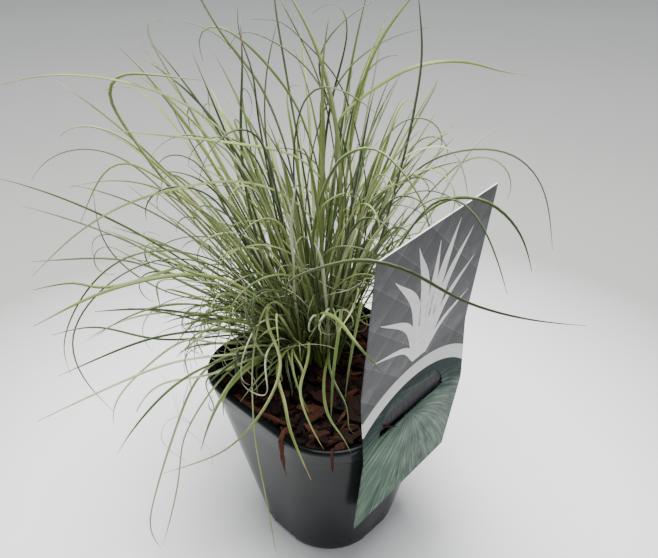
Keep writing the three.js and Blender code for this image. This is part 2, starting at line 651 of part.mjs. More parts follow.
// Leaves that stand out by themselves, each guided by points [across, deep, up]
// measured from the middle of the pot, looking at its corner between the
// unlabelled side and the labelled one.
const LOOK_TURN = -45.7;
const GUIDED_LEAVES = [
  { clump: 'front', width: 1.5,
    route: [[-18, -8, 150], [-27, -34, 200], [-14, -58, 229], [10, -93, 254], [22, -97, 253],
      [38, -93, 243], [64, -80, 223], [97, -70, 206], [130, -60, 195]] },
  { clump: 'centre', width: 2.4,
    route: [[8, 16, 196], [6, 10, 262], [1, 8, 291], [-6, 9, 315], [-16, 9, 334], [-25, 10, 348]] },
  { clump: 'centre', width: 2.4,
    route: [[-4, 20, 175], [-4, 11, 234], [-3, 5, 279], [-4, 2, 306], [0, 0, 330]] },
  { clump: 'left', width: 2.4,
    route: [[-21, 11, 180], [-36, 6, 240], [-46, -3, 268], [-61, -6, 284], [-75, -13, 296],
      [-100, -14, 305], [-130, -20, 309], [-152, -20, 303]] },
  { clump: 'left', width: 2.2,
    route: [[-26, 16, 175], [-47, 16, 217], [-66, 12, 268], [-81, 14, 299], [-88, 12, 315],
      [-91, 16, 322], [-88, 15, 327], [-83, 20, 324]] },
  { clump: 'left', width: 2.2,
    route: [[-42, 16, 170], [-67, 11, 207], [-87, 2, 242], [-104, -1, 276], [-109, -8, 295],
      [-102, -9, 306], [-85, -15, 307], [-60, -15, 304]] },
  { clump: 'centre', width: 2.0,
    route: [[10, 26, 191], [3, 15, 236], [-10, 6, 254], [-22, -2, 263], [-45, -9, 273],
      [-70, -15, 278], [-105, -20, 280]] },
  { clump: 'left', width: 1.4,
    route: [[-47, 16, 186], [-74, 3, 226], [-91, -7, 249], [-105, -14, 256], [-126, -20, 254]] },
  { clump: 'left', width: 1.5,
    route: [[-52, 21, 196], [-76, 10, 230], [-92, -4, 253], [-102, -12, 263], [-110, -19, 263],
      [-117, -30, 253], [-123, -35, 240]] },
  { clump: 'centre', width: 2.4,
    route: [[10, 16, 181], [0, 6, 217], [-20, 2, 237], [-46, -6, 249], [-75, -13, 252],
      [-110, -19, 243], [-140, -20, 222], [-158, -25, 205]] },
  { clump: 'left', width: 2.4,
    route: [[-28, 6, 154], [-49, -11, 189], [-66, -26, 205], [-91, -38, 211], [-120, -50, 206],
      [-147, -60, 195]] },
  { clump: 'left', width: 2.0,
    route: [[-34, 6, 151], [-57, -8, 184], [-73, -19, 204], [-87, -32, 211], [-104, -44, 207],
      [-122, -50, 207], [-138, -58, 213]] },
  { clump: 'left', width: 2.2,
    route: [[-40, 21, 147], [-69, 16, 179], [-98, 21, 199], [-130, 25, 207]] },
  { clump: 'left', width: 1.8,
    route: [[-42, 16, 144], [-68, 3, 175], [-95, -7, 198], [-122, -18, 210], [-152, -25, 215]] },
  { clump: 'left', width: 1.4,
    route: [[-46, 14, 160], [-86, 8, 168], [-114, 8, 180], [-130, 10, 202], [-132, 10, 236]] },
  { clump: 'left', width: 1.4,
    route: [[-40, 11, 170], [-70, 0, 200], [-98, -12, 208], [-128, -22, 193], [-147, -31, 167],
      [-140, -40, 143], [-124, -45, 125]] },
  { clump: 'left', width: 1.3,
    route: [[-40, 16, 175], [-76, 4, 203], [-110, -8, 210], [-139, -16, 191], [-154, -25, 158],
      [-153, -30, 136]] },
  { clump: 'front', width: 1.4,
    route: [[-28, 6, 130], [-49, -11, 156], [-71, -26, 170], [-98, -38, 173], [-125, -50, 168],
      [-145, -60, 162]] },
  { clump: 'left', width: 1.4,
    route: [[-29, 6, 133], [-57, -10, 149], [-95, -22, 164], [-124, -32, 175], [-152, -40, 187]] },
  { clump: 'front', width: 1.4,
    route: [[-26, -4, 138], [-51, -27, 154], [-81, -47, 162], [-112, -62, 159], [-148, -75, 150]] },
  { clump: 'front', width: 1.6,
    route: [[-37, -4, 140], [-62, -21, 158], [-83, -34, 164], [-101, -45, 157], [-111, -56, 145],
      [-118, -65, 130]] },
  { clump: 'front', width: 1.6,
    route: [[-26, -4, 135], [-47, -26, 146], [-74, -44, 150], [-96, -56, 149], [-102, -61, 144],
      [-101, -62, 138]] },
  { clump: 'front', width: 2.4,
    route: [[-28, -4, 143], [-52, -15, 149], [-73, -24, 140], [-96, -32, 110], [-109, -39, 69],
      [-112, -45, 22], [-105, -50, 3]] },
  { clump: 'front', width: 1.8,
    route: [[-26, -4, 135], [-49, -18, 145], [-72, -31, 131], [-92, -40, 103], [-101, -48, 74],
      [-103, -55, 26]] },
  { clump: 'front', width: 2.2,
    route: [[-18, -1, 148], [-31, -19, 190], [-38, -33, 181], [-42, -46, 163], [-42, -58, 144],
      [-40, -69, 126], [-36, -80, 104], [-30, -90, 60]] },
  { clump: 'front', width: 1.8,
    route: [[-21, 1, 143], [-30, -17, 185], [-31, -33, 176], [-27, -46, 162], [-31, -58, 148],
      [-42, -71, 137], [-63, -80, 124], [-84, -82, 114]] },
  { clump: 'front', width: 1.6,
    route: [[-7, -6, 150], [-11, -34, 144], [-14, -57, 141], [-10, -70, 135], [-6, -72, 127]] },
  { clump: 'front', width: 1.8,
    route: [[-17, -9, 149], [-26, -37, 151], [-25, -57, 144], [-21, -72, 135], [-16, -85, 113]] },
  { clump: 'front', width: 1.4,
    route: [[-17, 1, 143], [-24, -26, 156], [-19, -44, 146], [-9, -52, 129]] },
  { clump: 'side', width: 1.6,
    route: [[3, -6, 136], [-8, -32, 141], [-5, -57, 139], [5, -74, 135], [13, -80, 129]] },
  { clump: 'side', width: 1.8,
    route: [[6, -2, 154], [8, -22, 187], [6, -39, 178], [2, -52, 158], [0, -60, 129]] },
  { clump: 'side', width: 1.8,
    route: [[14, 2, 149], [20, -17, 189], [15, -32, 178], [11, -44, 158], [9, -50, 134]] },
  { clump: 'front', width: 2.0,
    route: [[-12, -3, 148], [-9, -34, 194], [4, -59, 205], [15, -88, 209], [34, -91, 187]] },
  { clump: 'centre', width: 1.5,
    route: [[13, 24, 186], [8, 23, 265], [-6, 19, 299], [-26, 16, 316], [-46, 17, 323], [-51, 20, 311]] },
  { clump: 'side', width: 1.4,
    route: [[4, -7, 150], [0, -37, 145], [4, -57, 143], [9, -74, 138], [14, -81, 128]] },
  { clump: 'centre', width: 2.4,
    route: [[-5, 16, 170], [-2, 16, 258], [9, 12, 279], [27, 14, 294], [50, 17, 304], [72, 21, 306],
      [92, 22, 300], [108, 25, 291]] },
  { clump: 'centre', width: 2.4,
    route: [[15, 14, 175], [10, 9, 262], [15, 8, 287], [25, 8, 315], [38, 10, 335], [52, 12, 350]] },
  { clump: 'right', width: 2.2,
    route: [[21, 16, 170], [29, 10, 210], [41, 11, 260], [46, 8, 286], [49, 8, 308], [47, 10, 325],
      [42, 10, 340]] },
  { clump: 'right', width: 1.6,
    route: [[18, 18, 181], [28, 13, 216], [39, 13, 240], [56, 13, 255], [78, 13, 263], [100, 13, 259],
      [120, 16, 240], [130, 18, 218], [133, 20, 196]] },
  { clump: 'right', width: 1.5,
    route: [[18, 18, 186], [21, 16, 220], [31, 12, 246], [46, 12, 261], [62, 14, 262], [76, 15, 250],
      [81, 16, 236], [79, 20, 223]] },
  { clump: 'side', width: 1.8,
    route: [[20, 5, 174], [34, -13, 213], [46, -31, 242], [57, -46, 259], [71, -53, 261],
      [84, -54, 251], [94, -52, 237], [99, -50, 220]] },
  { clump: 'centre', width: 2.0,
    route: [[-9, 11, 170], [-9, -1, 233], [-4, -13, 259], [5, -25, 274], [18, -37, 279],
      [31, -48, 272], [43, -56, 256], [51, -60, 238]] },
  { clump: 'right', width: 1.5,
    route: [[23, 21, 160], [43, 14, 190], [59, 11, 223], [71, 12, 252], [83, 14, 269], [95, 20, 270]] },
  { clump: 'side', width: 1.6,
    route: [[23, 0, 168], [38, -24, 222], [49, -51, 263], [62, -63, 263], [77, -60, 240],
      [88, -52, 208]] },
  { clump: 'left', width: 2.4,
    route: [[-33, 16, 160], [-44, 9, 213], [-47, 4, 251], [-45, 2, 285], [-42, 0, 308], [-42, 0, 328]] },
  { clump: 'centre', width: 2.0,
    route: [[6, 22, 181], [-6, 16, 251], [-15, 12, 282], [-26, 12, 299], [-41, 13, 316],
      [-56, 15, 325], [-67, 17, 319], [-65, 20, 305]] },
  { clump: 'centre', width: 2.0,
    route: [[-5, 18, 175], [-14, 14, 233], [-24, 12, 268], [-36, 12, 298], [-47, 13, 318],
      [-58, 15, 335], [-66, 18, 347]] },
  { clump: 'back', width: 2.0,
    route: [[8, 32, 181], [5, 31, 244], [-2, 34, 285], [-13, 39, 309], [-24, 44, 328], [-31, 50, 341]] },
  { clump: 'back', width: 2.4,
    route: [[-7, 31, 165], [-13, 25, 236], [-20, 21, 282], [-24, 20, 310], [-27, 20, 332],
      [-27, 21, 346]] },
  { clump: 'back', width: 2.0,
    route: [[-19, 32, 155], [-33, 27, 227], [-36, 24, 267], [-34, 26, 297], [-27, 30, 321]] },
  { clump: 'left', width: 1.5,
    route: [[-28, 21, 170], [-36, 15, 236], [-39, 12, 277], [-36, 13, 307], [-38, 13, 322],
      [-42, 15, 331]] },
  { clump: 'back', width: 1.5,
    route: [[23, 31, 181], [22, 26, 234], [15, 23, 275], [4, 21, 300], [-10, 20, 317], [-23, 20, 325],
      [-37, 21, 326]] },
  { clump: 'back', width: 1.5,
    route: [[-4, 32, 181], [-4, 30, 259], [3, 31, 290], [10, 32, 313], [9, 34, 328], [0, 36, 332],
      [-9, 40, 325]] },
  { clump: 'back', width: 1.6,
    route: [[-16, 32, 186], [-13, 27, 246], [-2, 25, 283], [12, 26, 304], [31, 27, 316], [52, 30, 320]] },
  { clump: 'back', width: 1.5,
    route: [[21, 30, 181], [13, 22, 250], [-6, 31, 284], [-9, 35, 306], [4, 40, 321], [24, 45, 330],
      [38, 50, 335]] },
  { clump: 'back', width: 1.8,
    route: [[-17, 28, 186], [-21, 15, 254], [-16, 5, 287], [-5, 0, 299], [10, -5, 296], [25, -9, 285]] },
];

// The six clumps: where each stands, how its leaves lean and how many it has.
// A heading is the way the leaves go, and a fan is how widely they spread.
const CLUMPS = [
  { name: 'centre', place: null, heading: null, fan: 360,
    lean: [1, 18], length: [180, 240], leaves: 44, seed: 100 },
  { name: 'right', place: 0, heading: -15, fan: 150,
    lean: [1, 20], length: [140, 228], leaves: 32, seed: 300 },
  { name: 'back', place: 1, heading: 46, fan: 150,
    lean: [3, 60], length: [140, 236], leaves: 42, seed: 500 },
  { name: 'left', place: 2, heading: 122, fan: 120,
    lean: [5, 74], length: [140, 248], leaves: 46, seed: 700 },
  { name: 'front', place: 3, heading: 166, fan: 110,
    lean: [12, 72], length: [100, 205], leaves: 31, seed: 900 },
  { name: 'side', place: 4, heading: 262, fan: 170,
    lean: [1, 17], length: [110, 205], leaves: 28, seed: 1100 },
];

const GREENS = {
  centre: 0x76853f,
  right: 0x6f7f3d,
  back: 0x687839,
  left: 0x7c8a4b,
  front: 0x8b995c,
  side: 0x808f50,
};

function makeCore(clump) {
  const [cx, cy] = clumpCentre(clump);
  const rings = CORE_PROFILE.map(([radius, z]) => {
    const ring = [];
    for (let k = 0; k < CORE_SIDES; k += 1) {
      const angle = 2 * Math.PI * k / CORE_SIDES;
      ring.push(new THREE.Vector3(cx + radius * Math.cos(angle), cy + radius * Math.sin(angle), z));
    }
    return ring;
  });
  return toSolid(loft(rings));
}

// Takes a path if it is clear of everything there so far.
function settle(path, width, clump, space) {
  if (path.some((p) => blocked(p, clump))) return null;
  const stations = thin(path, CHORD_TOLERANCE);
  const samples = sampleChords(path, stations);
  if (samples.some(([p]) => blocked(p, clump))) return null;
  if (!space.isFree(samples, width, clump)) return null;
  space.fill(samples, width, clump);
  return { path, stations, width, clump };
}

// A guided leaf keeps its route, or moves a little where others are in its way.
function guidedLeaf(entry, number, space) {
  const clump = CLUMPS.find(({ name }) => name === entry.clump);
  const [cx, cy] = clumpCentre(clump);
  const turn = LOOK_TURN * DEGREE;
  const points = entry.route.map(([across, deep, up]) => new THREE.Vector3(
    across * Math.cos(turn) - deep * Math.sin(turn),
    across * Math.sin(turn) + deep * Math.cos(turn),
    up,
  ));
  const toward = new THREE.Vector3(points[0].x - cx, points[0].y - cy, 0);
  toward.multiplyScalar(Math.min(0.35, 4.5 / Math.max(1, toward.length())));
  for (let attempt = 0; attempt < ROUTE_TRIES; attempt += 1) {
    const random = draws(20000 + number * 50 + attempt);
    const shift = () => (random() - 0.5) * 2 * ROUTE_SHIFT * attempt;
    const root = new THREE.Vector3(cx + toward.x + shift() * 0.3, cy + toward.y + shift() * 0.3, ROOT_Z);
    const moved = points.map((p) => new THREE.Vector3(p.x + shift(), p.y + shift(), p.z + shift() * 0.6));
    const leaf = settle(guidedPath([root, ...moved]), entry.width, clump, space);
    if (leaf) return leaf;
  }
  return null;
}

function grownLeaf(clump, number, space) {
  const [cx, cy] = clumpCentre(clump);
  for (let attempt = 0; attempt < TRIES; attempt += 1) {
    const random = draws(clump.seed * 1000 + number * 20 + attempt);
    const angle = random() * 2 * Math.PI;
    const reach = ROOT_SPREAD * Math.sqrt(random());
    const offset = new THREE.Vector3(reach * Math.cos(angle), reach * Math.sin(angle), 0);
    const out = clump.place === null ? reach / ROOT_SPREAD
      : 0.5 + (offset.x * (cx - CROWN_X) + offset.y * (cy - CROWN_Y)) / (2 * CLUMP_RING * ROOT_SPREAD);
    const habit = drawHabit(random, clump, out);
    const root = new THREE.Vector3(cx, cy, ROOT_Z + habit.lean * 0.17).add(offset);
    const leaf = settle(grownPath(root, habit), habit.width, clump, space);
    if (leaf) return leaf;
  }
  return null;
}

function growLeaves() {
  const space = new LeafSpace();
  const leaves = GUIDED_LEAVES.map((entry, number) => guidedLeaf(entry, number, space));
  const most = Math.max(...CLUMPS.map((clump) => clump.leaves));
  for (let number = 0; number < most; number += 1) {
    for (const clump of CLUMPS) {
      if (number < clump.leaves) leaves.push(grownLeaf(clump, number, space));
    }
  }
  return leaves.filter((leaf) => leaf !== null);
}

function makeClump(clump, leaves) {
  const blades = leaves.filter((leaf) => leaf.clump === clump).map(bladeSolid);
  return largestPiece(wasm.Manifold.union([makeCore(clump), ...blades]));
}

function asMesh(name, solid, color, roughness) {
  const material = new THREE.MeshStandardMaterial({ color, roughness, metalness: 0, flatShading: true });
  const mesh = new THREE.Mesh(toGeometry(solid), material);
  mesh.name = name;
  return mesh;
}

const leaves = growLeaves();
const sedge = new THREE.Group();
sedge.add(asMesh('pot', makePot(), 0x24282a, 0.32));
sedge.add(asMesh('root_ball', makeRootBall(CLUMPS), 0x2c2019, 0.95));
sedge.add(asMesh('bark_mulch', makeMulch(CLUMPS), 0x4a2a1b, 0.9));
sedge.add(asMesh('care_label', makeLabel(), 0x73787a, 0.45));
for (const clump of CLUMPS) {
  sedge.add(asMesh(`leaves_${clump.name}`, makeClump(clump, leaves), GREENS[clump.name], 0.6));
}

export default sedge;
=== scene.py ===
"""Dresses a potted clump of curly-leaved sedge, with its care label and its bark mulch.

All sizes in the classes are millimetres, and every mesh is made in metres. The
origin is on the ground under the middle of the pot, +Z is up, and the label
hangs on the -Y side.
"""
from __future__ import annotations

import logging
import math
from dataclasses import dataclass, field, replace
from enum import Enum
from typing import Iterable, Sequence

import bmesh
import bpy
import numpy as np
from mathutils import Matrix, Vector, noise

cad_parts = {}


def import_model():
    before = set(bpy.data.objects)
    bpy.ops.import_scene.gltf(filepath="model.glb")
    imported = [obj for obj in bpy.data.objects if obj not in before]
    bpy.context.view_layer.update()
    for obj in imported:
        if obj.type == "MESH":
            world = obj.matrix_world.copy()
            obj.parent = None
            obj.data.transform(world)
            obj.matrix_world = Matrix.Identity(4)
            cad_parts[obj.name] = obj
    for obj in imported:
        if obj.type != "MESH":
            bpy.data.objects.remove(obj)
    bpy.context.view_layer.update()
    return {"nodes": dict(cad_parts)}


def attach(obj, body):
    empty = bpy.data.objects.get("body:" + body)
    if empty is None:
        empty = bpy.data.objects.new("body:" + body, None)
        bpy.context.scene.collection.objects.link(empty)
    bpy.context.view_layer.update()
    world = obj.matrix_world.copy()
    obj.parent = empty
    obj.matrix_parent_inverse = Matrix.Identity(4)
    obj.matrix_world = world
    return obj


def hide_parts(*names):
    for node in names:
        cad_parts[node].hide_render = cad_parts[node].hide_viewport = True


LOG = logging.getLogger("sedge")
MM = 0.001
BODY = "root"

Array = np.ndarray
Colour = tuple[float, float, float, float]
Material = bpy.types.Material
Mesh = bpy.types.Mesh
Object = bpy.types.Object
Socket = bpy.types.NodeSocket
Stops = tuple[tuple[float, str], ...]
Triple = tuple[float, float, float]


def rgb(code: str) -> Colour:
    """Turns a six-digit display colour into a linear one.

    Args:
        code: Red, green and blue as six hexadecimal digits.

    Returns:
        The linear colour with an alpha of one.
    """
    parts = [int(code[k:k + 2], 16) / 255 for k in (0, 2, 4)]
    linear = [p / 12.92 if p <= 0.04045 else ((p + 0.055) / 1.055) ** 2.4 for p in parts]
    return (linear[0], linear[1], linear[2], 1.0)


def between(low: float, high: float, share: float) -> float:
    """Returns the number that lies at a share of the way from low to high."""
    return low + (high - low) * share


class Draws:
    """A seeded stream of numbers from 0 to 1, the same on every run."""

    MODULUS = 2147483647

    def __init__(self, seed: int) -> None:
        """Starts the stream from a whole number."""
        self._state = (seed * 7919 + 12345) % self.MODULUS
        self.next()
        self.next()

    def next(self) -> float:
        """Returns the next number."""
        self._state = self._state * 48271 % self.MODULUS
        return self._state / self.MODULUS

    def between(self, low: float, high: float) -> float:
        """Returns the next number, spread between low and high."""
        return low + (high - low) * self.next()

    def sway(self, reach: float) -> float:
        """Returns the next number, spread evenly to both sides of zero."""
        return (self.next() - 0.5) * 2 * reach


# Meshes.


@dataclass
class Pile:
    """Gathers closed bodies and the values on their points into one mesh.

    Attributes:
        name: The name of the piece.
        points: Arrays of points in millimetres.
        faces: Corner numbers of every face.
        slots: The material slot of every face.
        values: Named arrays of point values.
        count: How many points it holds so far.
    """

    name: str
    points: list[Array] = field(default_factory=list)
    faces: list[list[int]] = field(default_factory=list)
    slots: list[int] = field(default_factory=list)
    values: dict[str, list[Array]] = field(default_factory=dict)
    count: int = 0

    def add(self, points: Array, faces: Iterable[Sequence[int]], slot: int = 0,
            **values: Array | float) -> None:
        """Adds one body.

        Args:
            points: Its points, in millimetres.
            faces: Its faces, numbered from its own first point.
            slot: The material slot of its faces.
            values: Point values, each an array or one number for all points.
        """
        for face in faces:
            self.faces.append([corner + self.count for corner in face])
            self.slots.append(slot)
        self.points.append(points)
        self.count += len(points)
        for key, value in values.items():
            spread = np.broadcast_to(np.asarray(value, float), (len(points),))
            self.values.setdefault(key, []).append(spread)

    def add_rings(self, rings: Array, slot: int = 0, **values: Array | float) -> None:
        """Adds a closed body through rings of equal length, capped at both ends.

        Args:
            rings: Points as levels by places round the ring by three.
            slot: The material slot of its faces.
            values: Point values in the order of the flattened rings.
        """
        levels, around = rings.shape[:2]
        faces = []
        for level in range(levels - 1):
            for k in range(around):
                a = level * around + k
                b = level * around + (k + 1) % around
                faces.append([a, b, b + around, a + around])
        faces.append(list(range(around))[::-1])
        last = (levels - 1) * around
        faces.append(list(range(last, last + around)))
        self.add(rings.reshape(-1, 3), faces, slot, **values)

    def build(self, finishes: Sequence[Material], smooth: bool = True) -> Object:
        """Makes the object.

        Args:
            finishes: The materials of its slots.
            smooth: Whether its faces are shaded smooth.

        Returns:
            The new object, linked to the scene.
        """
        mesh = bpy.data.meshes.new(self.name)
        points = np.concatenate(self.points) * MM
        mesh.from_pydata(points.tolist(), [], self.faces)
        for key, parts in self.values.items():
            write_values(mesh, key, np.concatenate(parts))
        for finish in finishes:
            mesh.materials.append(finish)
        mesh.polygons.foreach_set("material_index", self.slots)
        mesh.polygons.foreach_set("use_smooth", [smooth] * len(self.faces))
        mesh.update()
        return linked(self.name, mesh)


def write_values(mesh: Mesh, name: str, numbers: Array) -> None:
    """Writes one number on every point of a mesh, for its finish to read."""
    attribute = mesh.attributes.new(name, "FLOAT", "POINT")
    attribute.data.foreach_set("value", numbers.astype(np.float32))


def linked(name: str, data: bpy.types.ID) -> Object:
    """Makes an object from a mesh, a lamp or a camera.

    Args:
        name: The name of the object.
        data: What it shows.

    Returns:
        The object, linked to the scene.
    """
    made = bpy.data.objects.new(name, data)
    bpy.context.scene.collection.objects.link(made)
    return made


def put_on(piece: Object, *finishes: Material) -> None:
    """Gives a piece new finishes in place of the ones it has."""
    piece.data.materials.clear()
    for finish in finishes:
        piece.data.materials.append(finish)


def carry(piece: Object, slot: str, replaced: Sequence[str] = ()) -> None:
    """Puts a piece on the plant's body and reports it.

    Args:
        piece: The finished object.
        slot: The record's material slot that is reported with it.
        replaced: The solids that it stands for.
    """
    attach(piece, BODY)
    if replaced:
        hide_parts(*replaced)
    LOG.info("%s: %d faces, slot %s", piece.name, len(piece.data.polygons), slot)


def smooth_path(points: Array, count: int) -> Array:
    """Runs a smooth curve through a few points.

    Args:
        points: The points, in order.
        count: How many points the curve gets.

    Returns:
        Points on a curve that passes through every given point.
    """
    padded = np.vstack([2 * points[0] - points[1], points, 2 * points[-1] - points[-2]])
    spans = len(points) - 1
    out = []
    for place in np.linspace(0, spans - 1e-9, count):
        k = int(place)
        t = place - k
        a, b, c, d = padded[k:k + 4]
        out.append(0.5 * (2 * b + (c - a) * t + (2 * a - 5 * b + 4 * c - d) * t ** 2
                          + (3 * b - a - 3 * c + d) * t ** 3))
    return np.array(out)


def unit(vector: Array) -> Array:
    """Returns a vector, or every row of an array, at a length of one."""
    length = np.linalg.norm(vector, axis=-1, keepdims=True)
    return vector / np.maximum(length, 1e-9)


def frames(path: Array, side: Array) -> tuple[Array, Array]:
    """Carries a side direction along a path without twist.

    Args:
        path: Points of the path.
        side: The side direction at its start.

    Returns:
        The side and the face direction at every point.
    """
    tangents = unit(np.gradient(path, axis=0))
    sides = np.empty_like(path)
    for k, tangent in enumerate(tangents):
        side = side - tangent * float(side @ tangent)
        side = side / max(float(np.linalg.norm(side)), 1e-9)
        sides[k] = side
    return sides, np.cross(tangents, sides)


# Finishes.


class Nodes:
    """Builds and joins the nodes of one finish."""

    def __init__(self, name: str, roughness: float, specular: float = 0.5) -> None:
        """Starts a finish with its plain shader values.

        Args:
            name: The name of the material.
            roughness: Its roughness, where no socket gives one.
            specular: Its specular level.
        """
        self.material = bpy.data.materials.new(name)
        self.material.use_nodes = True
        self.tree = self.material.node_tree
        self.shader = self.tree.nodes["Principled BSDF"]
        self.shader.inputs["Roughness"].default_value = roughness
        self.shader.inputs["Specular IOR Level"].default_value = specular

    def add(self, kind: str, inputs: dict[str | int, object], **settings: object) -> bpy.types.Node:
        """Adds a node.

        Args:
            kind: The node's type without its first part.
            inputs: Values or sockets for its inputs.
            settings: Values for its own settings.

        Returns:
            The new node.
        """
        node = self.tree.nodes.new("ShaderNode" + kind)
        for key, value in settings.items():
            setattr(node, key, value)
        for key, value in inputs.items():
            if isinstance(value, bpy.types.NodeSocket):
                self.tree.links.new(value, node.inputs[key])
            else:
                node.inputs[key].default_value = value
        return node

    def value(self, name: str) -> Socket:
        """Returns a point value of the mesh as a socket."""
        return self.add("Attribute", {}, attribute_name=name).outputs["Fac"]

    def place(self) -> Socket:
        """Returns the place on the piece in metres."""
        return self.add("TexCoord", {}).outputs["Object"]

    def math(self, operation: str, *terms: object, clamp: bool = False) -> Socket:
        """Returns the result of one sum of one to three terms."""
        inputs = dict(enumerate(terms))
        return self.add("Math", inputs, operation=operation, use_clamp=clamp).outputs[0]

    def plus(self, first: object, second: object, clamp: bool = False) -> Socket:
        """Returns one value with another added."""
        return self.math("ADD", first, second, clamp=clamp)

    def minus(self, first: object, second: object, clamp: bool = False) -> Socket:
        """Returns one value with another taken away."""
        return self.math("SUBTRACT", first, second, clamp=clamp)

    def times(self, first: object, second: object) -> Socket:
        """Returns one value multiplied by another."""
        return self.math("MULTIPLY", first, second)

    def spread(self, value: Socket, low: float, high: float, to_low: float = 0.0,
               to_high: float = 1.0) -> Socket:
        """Returns a value moved from one range to another, held inside it."""
        inputs = {"Value": value, "From Min": low, "From Max": high, "To Min": to_low, "To Max": to_high}
        return self.add("MapRange", inputs, clamp=True).outputs["Result"]

    def noise(self, scale: float, detail: float = 3.0, vector: Socket | None = None,
              rough: float = 0.55) -> Socket:
        """Returns soft noise over the piece, or over a given vector."""
        inputs = {"Vector": vector or self.place(), "Scale": scale, "Detail": detail, "Roughness": rough}
        return self.add("TexNoise", inputs).outputs["Fac"]

    def vector(self, x: object, y: object, z: object) -> Socket:
        """Returns three numbers as one vector."""
        return self.add("CombineXYZ", {0: x, 1: y, 2: z}).outputs[0]

    def distance(self, first: Socket, second: Socket) -> Socket:
        """Returns the length that two sides at a right angle span."""
        return self.math("SQRT", self.plus(self.times(first, first), self.times(second, second)))

    def streaks(self, detail: float, ways: Sequence[tuple[Socket, float]], rough: float = 0.55,
                layer: float = 0.0) -> Socket:
        """Makes soft noise over a few values, each with its own scale.

        Args:
            detail: How many finer layers it has.
            ways: Two or three values with their scales.
            rough: How strong the finer layers are.
            layer: The third place, where there are two values.

        Returns:
            The noise.
        """
        parts = [self.times(value, scale) for value, scale in ways]
        third = parts[2] if len(parts) > 2 else layer
        return self.noise(1.0, detail, self.vector(parts[0], parts[1], third), rough)

    def ramp(self, factor: Socket, stops: Stops) -> Socket:
        """Runs a colour through stops.

        Args:
            factor: The value that picks the place.
            stops: Places from 0 to 1 with their display colours.

        Returns:
            The colour.
        """
        node = self.add("ValToRGB", {"Fac": factor})
        band = node.color_ramp.elements
        while len(band) < len(stops):
            band.new(0.5)
        for element, (place, code) in zip(band, stops):
            element.position = place
            element.color = rgb(code)
        return node.outputs["Color"]

    def mix(self, factor: object, low: object, high: object, blend: str = "MIX") -> Socket:
        """Returns one colour mixed with another."""
        node = self.add("Mix", {0: factor, 6: low, 7: high}, data_type="RGBA", blend_type=blend)
        return node.outputs[2]

    def dress(self, colour: Socket, roughness: Socket | None = None,
              bump: tuple[Socket, float, float] | None = None) -> Material:
        """Joins the results to the shader.

        Args:
            colour: The base colour.
            roughness: A roughness that changes over the surface.
            bump: A height with its strength and its distance in metres.

        Returns:
            The finished material.
        """
        self.tree.links.new(colour, self.shader.inputs["Base Color"])
        if roughness is not None:
            self.tree.links.new(roughness, self.shader.inputs["Roughness"])
        if bump is not None:
            height, strength, distance = bump
            node = self.add("Bump", {"Height": height, "Strength": strength, "Distance": distance})
            self.tree.links.new(node.outputs["Normal"], self.shader.inputs["Normal"])
        return self.material


@dataclass(frozen=True)
class PotPlastic:
    """Glossy near-black moulded plastic with a painted soft vertical sheen, fine ribs near the rim and a
    little dust.
    """

    dark: str = "06090a"
    # painted sheen: the lighter teal that tall streaks mix in, standing in for a soft reflection on the
    # glossy wall
    painted_sheen_tint: str = "11191a"
    dust: str = "2c2c2a"
    dust_high: float = 22.0
    rib_pitch: float = 4.6
    ribs_from: float = 86.0
    ribs_full: float = 100.0

    def make(self) -> Material:
        """Makes the finish of the pot.

        Returns:
            The plastic.
        """
        n = Nodes("glossy_black_pot_plastic", 0.3, 0.13)
        height = n.add("SeparateXYZ", {0: n.place()}).outputs["Z"]
        tall = n.add("Mapping", {"Vector": n.place(), "Scale": (1.0, 1.0, 0.12)}).outputs[0]
        sheen = n.noise(46.0, 2.0, tall)
        cloud = n.noise(38.0, 4.0)
        speck = n.noise(900.0, 2.0)
        # painted sheen: noise stretched upwards mixes the near-black towards the lighter teal in tall
        # streaks
        base = n.mix(n.spread(sheen, 0.35, 0.7), rgb(self.dark), rgb(self.painted_sheen_tint))
        low_dust = n.spread(height, 0.0, self.dust_high * MM, 0.5, 0.0)
        dusty = n.times(n.plus(low_dust, n.spread(speck, 0.68, 0.8, 0.0, 0.25)), cloud)
        colour = n.mix(dusty, base, rgb(self.dust))
        rough = n.plus(n.spread(cloud, 0.35, 0.75, 0.17, 0.27), n.times(dusty, 0.4))
        rib = n.math("SINE", n.times(height, 2 * math.pi / (self.rib_pitch * MM)))
        ribbed = n.times(rib, n.spread(height, self.ribs_from * MM, self.ribs_full * MM))
        relief = n.plus(n.times(ribbed, 0.08), n.times(sheen, 0.6))
        return n.dress(colour, rough, (relief, 0.1, 0.0006))


@dataclass(frozen=True)
class Compost:
    """Dark peat with pale grit and fine roots."""

    lumps: Stops = ((0.3, "1c130d"), (0.6, "2e2016"), (0.85, "4a3423"))
    root: str = "8c7658"

    def make(self) -> Material:
        """Makes the finish of the root ball.

        Returns:
            The compost.
        """
        n = Nodes("peat_compost", 0.95, 0.2)
        lumps = n.noise(190.0, 8.0, rough=0.7)
        roots = n.add("TexVoronoi", {"Vector": n.place(), "Scale": 130.0}, feature="DISTANCE_TO_EDGE")
        root = n.spread(roots.outputs["Distance"], 0.0, 0.035, 0.55, 0.0)
        colour = n.mix(root, n.ramp(lumps, self.lumps), rgb(self.root))
        return n.dress(colour, None, (lumps, 0.9, 0.002))


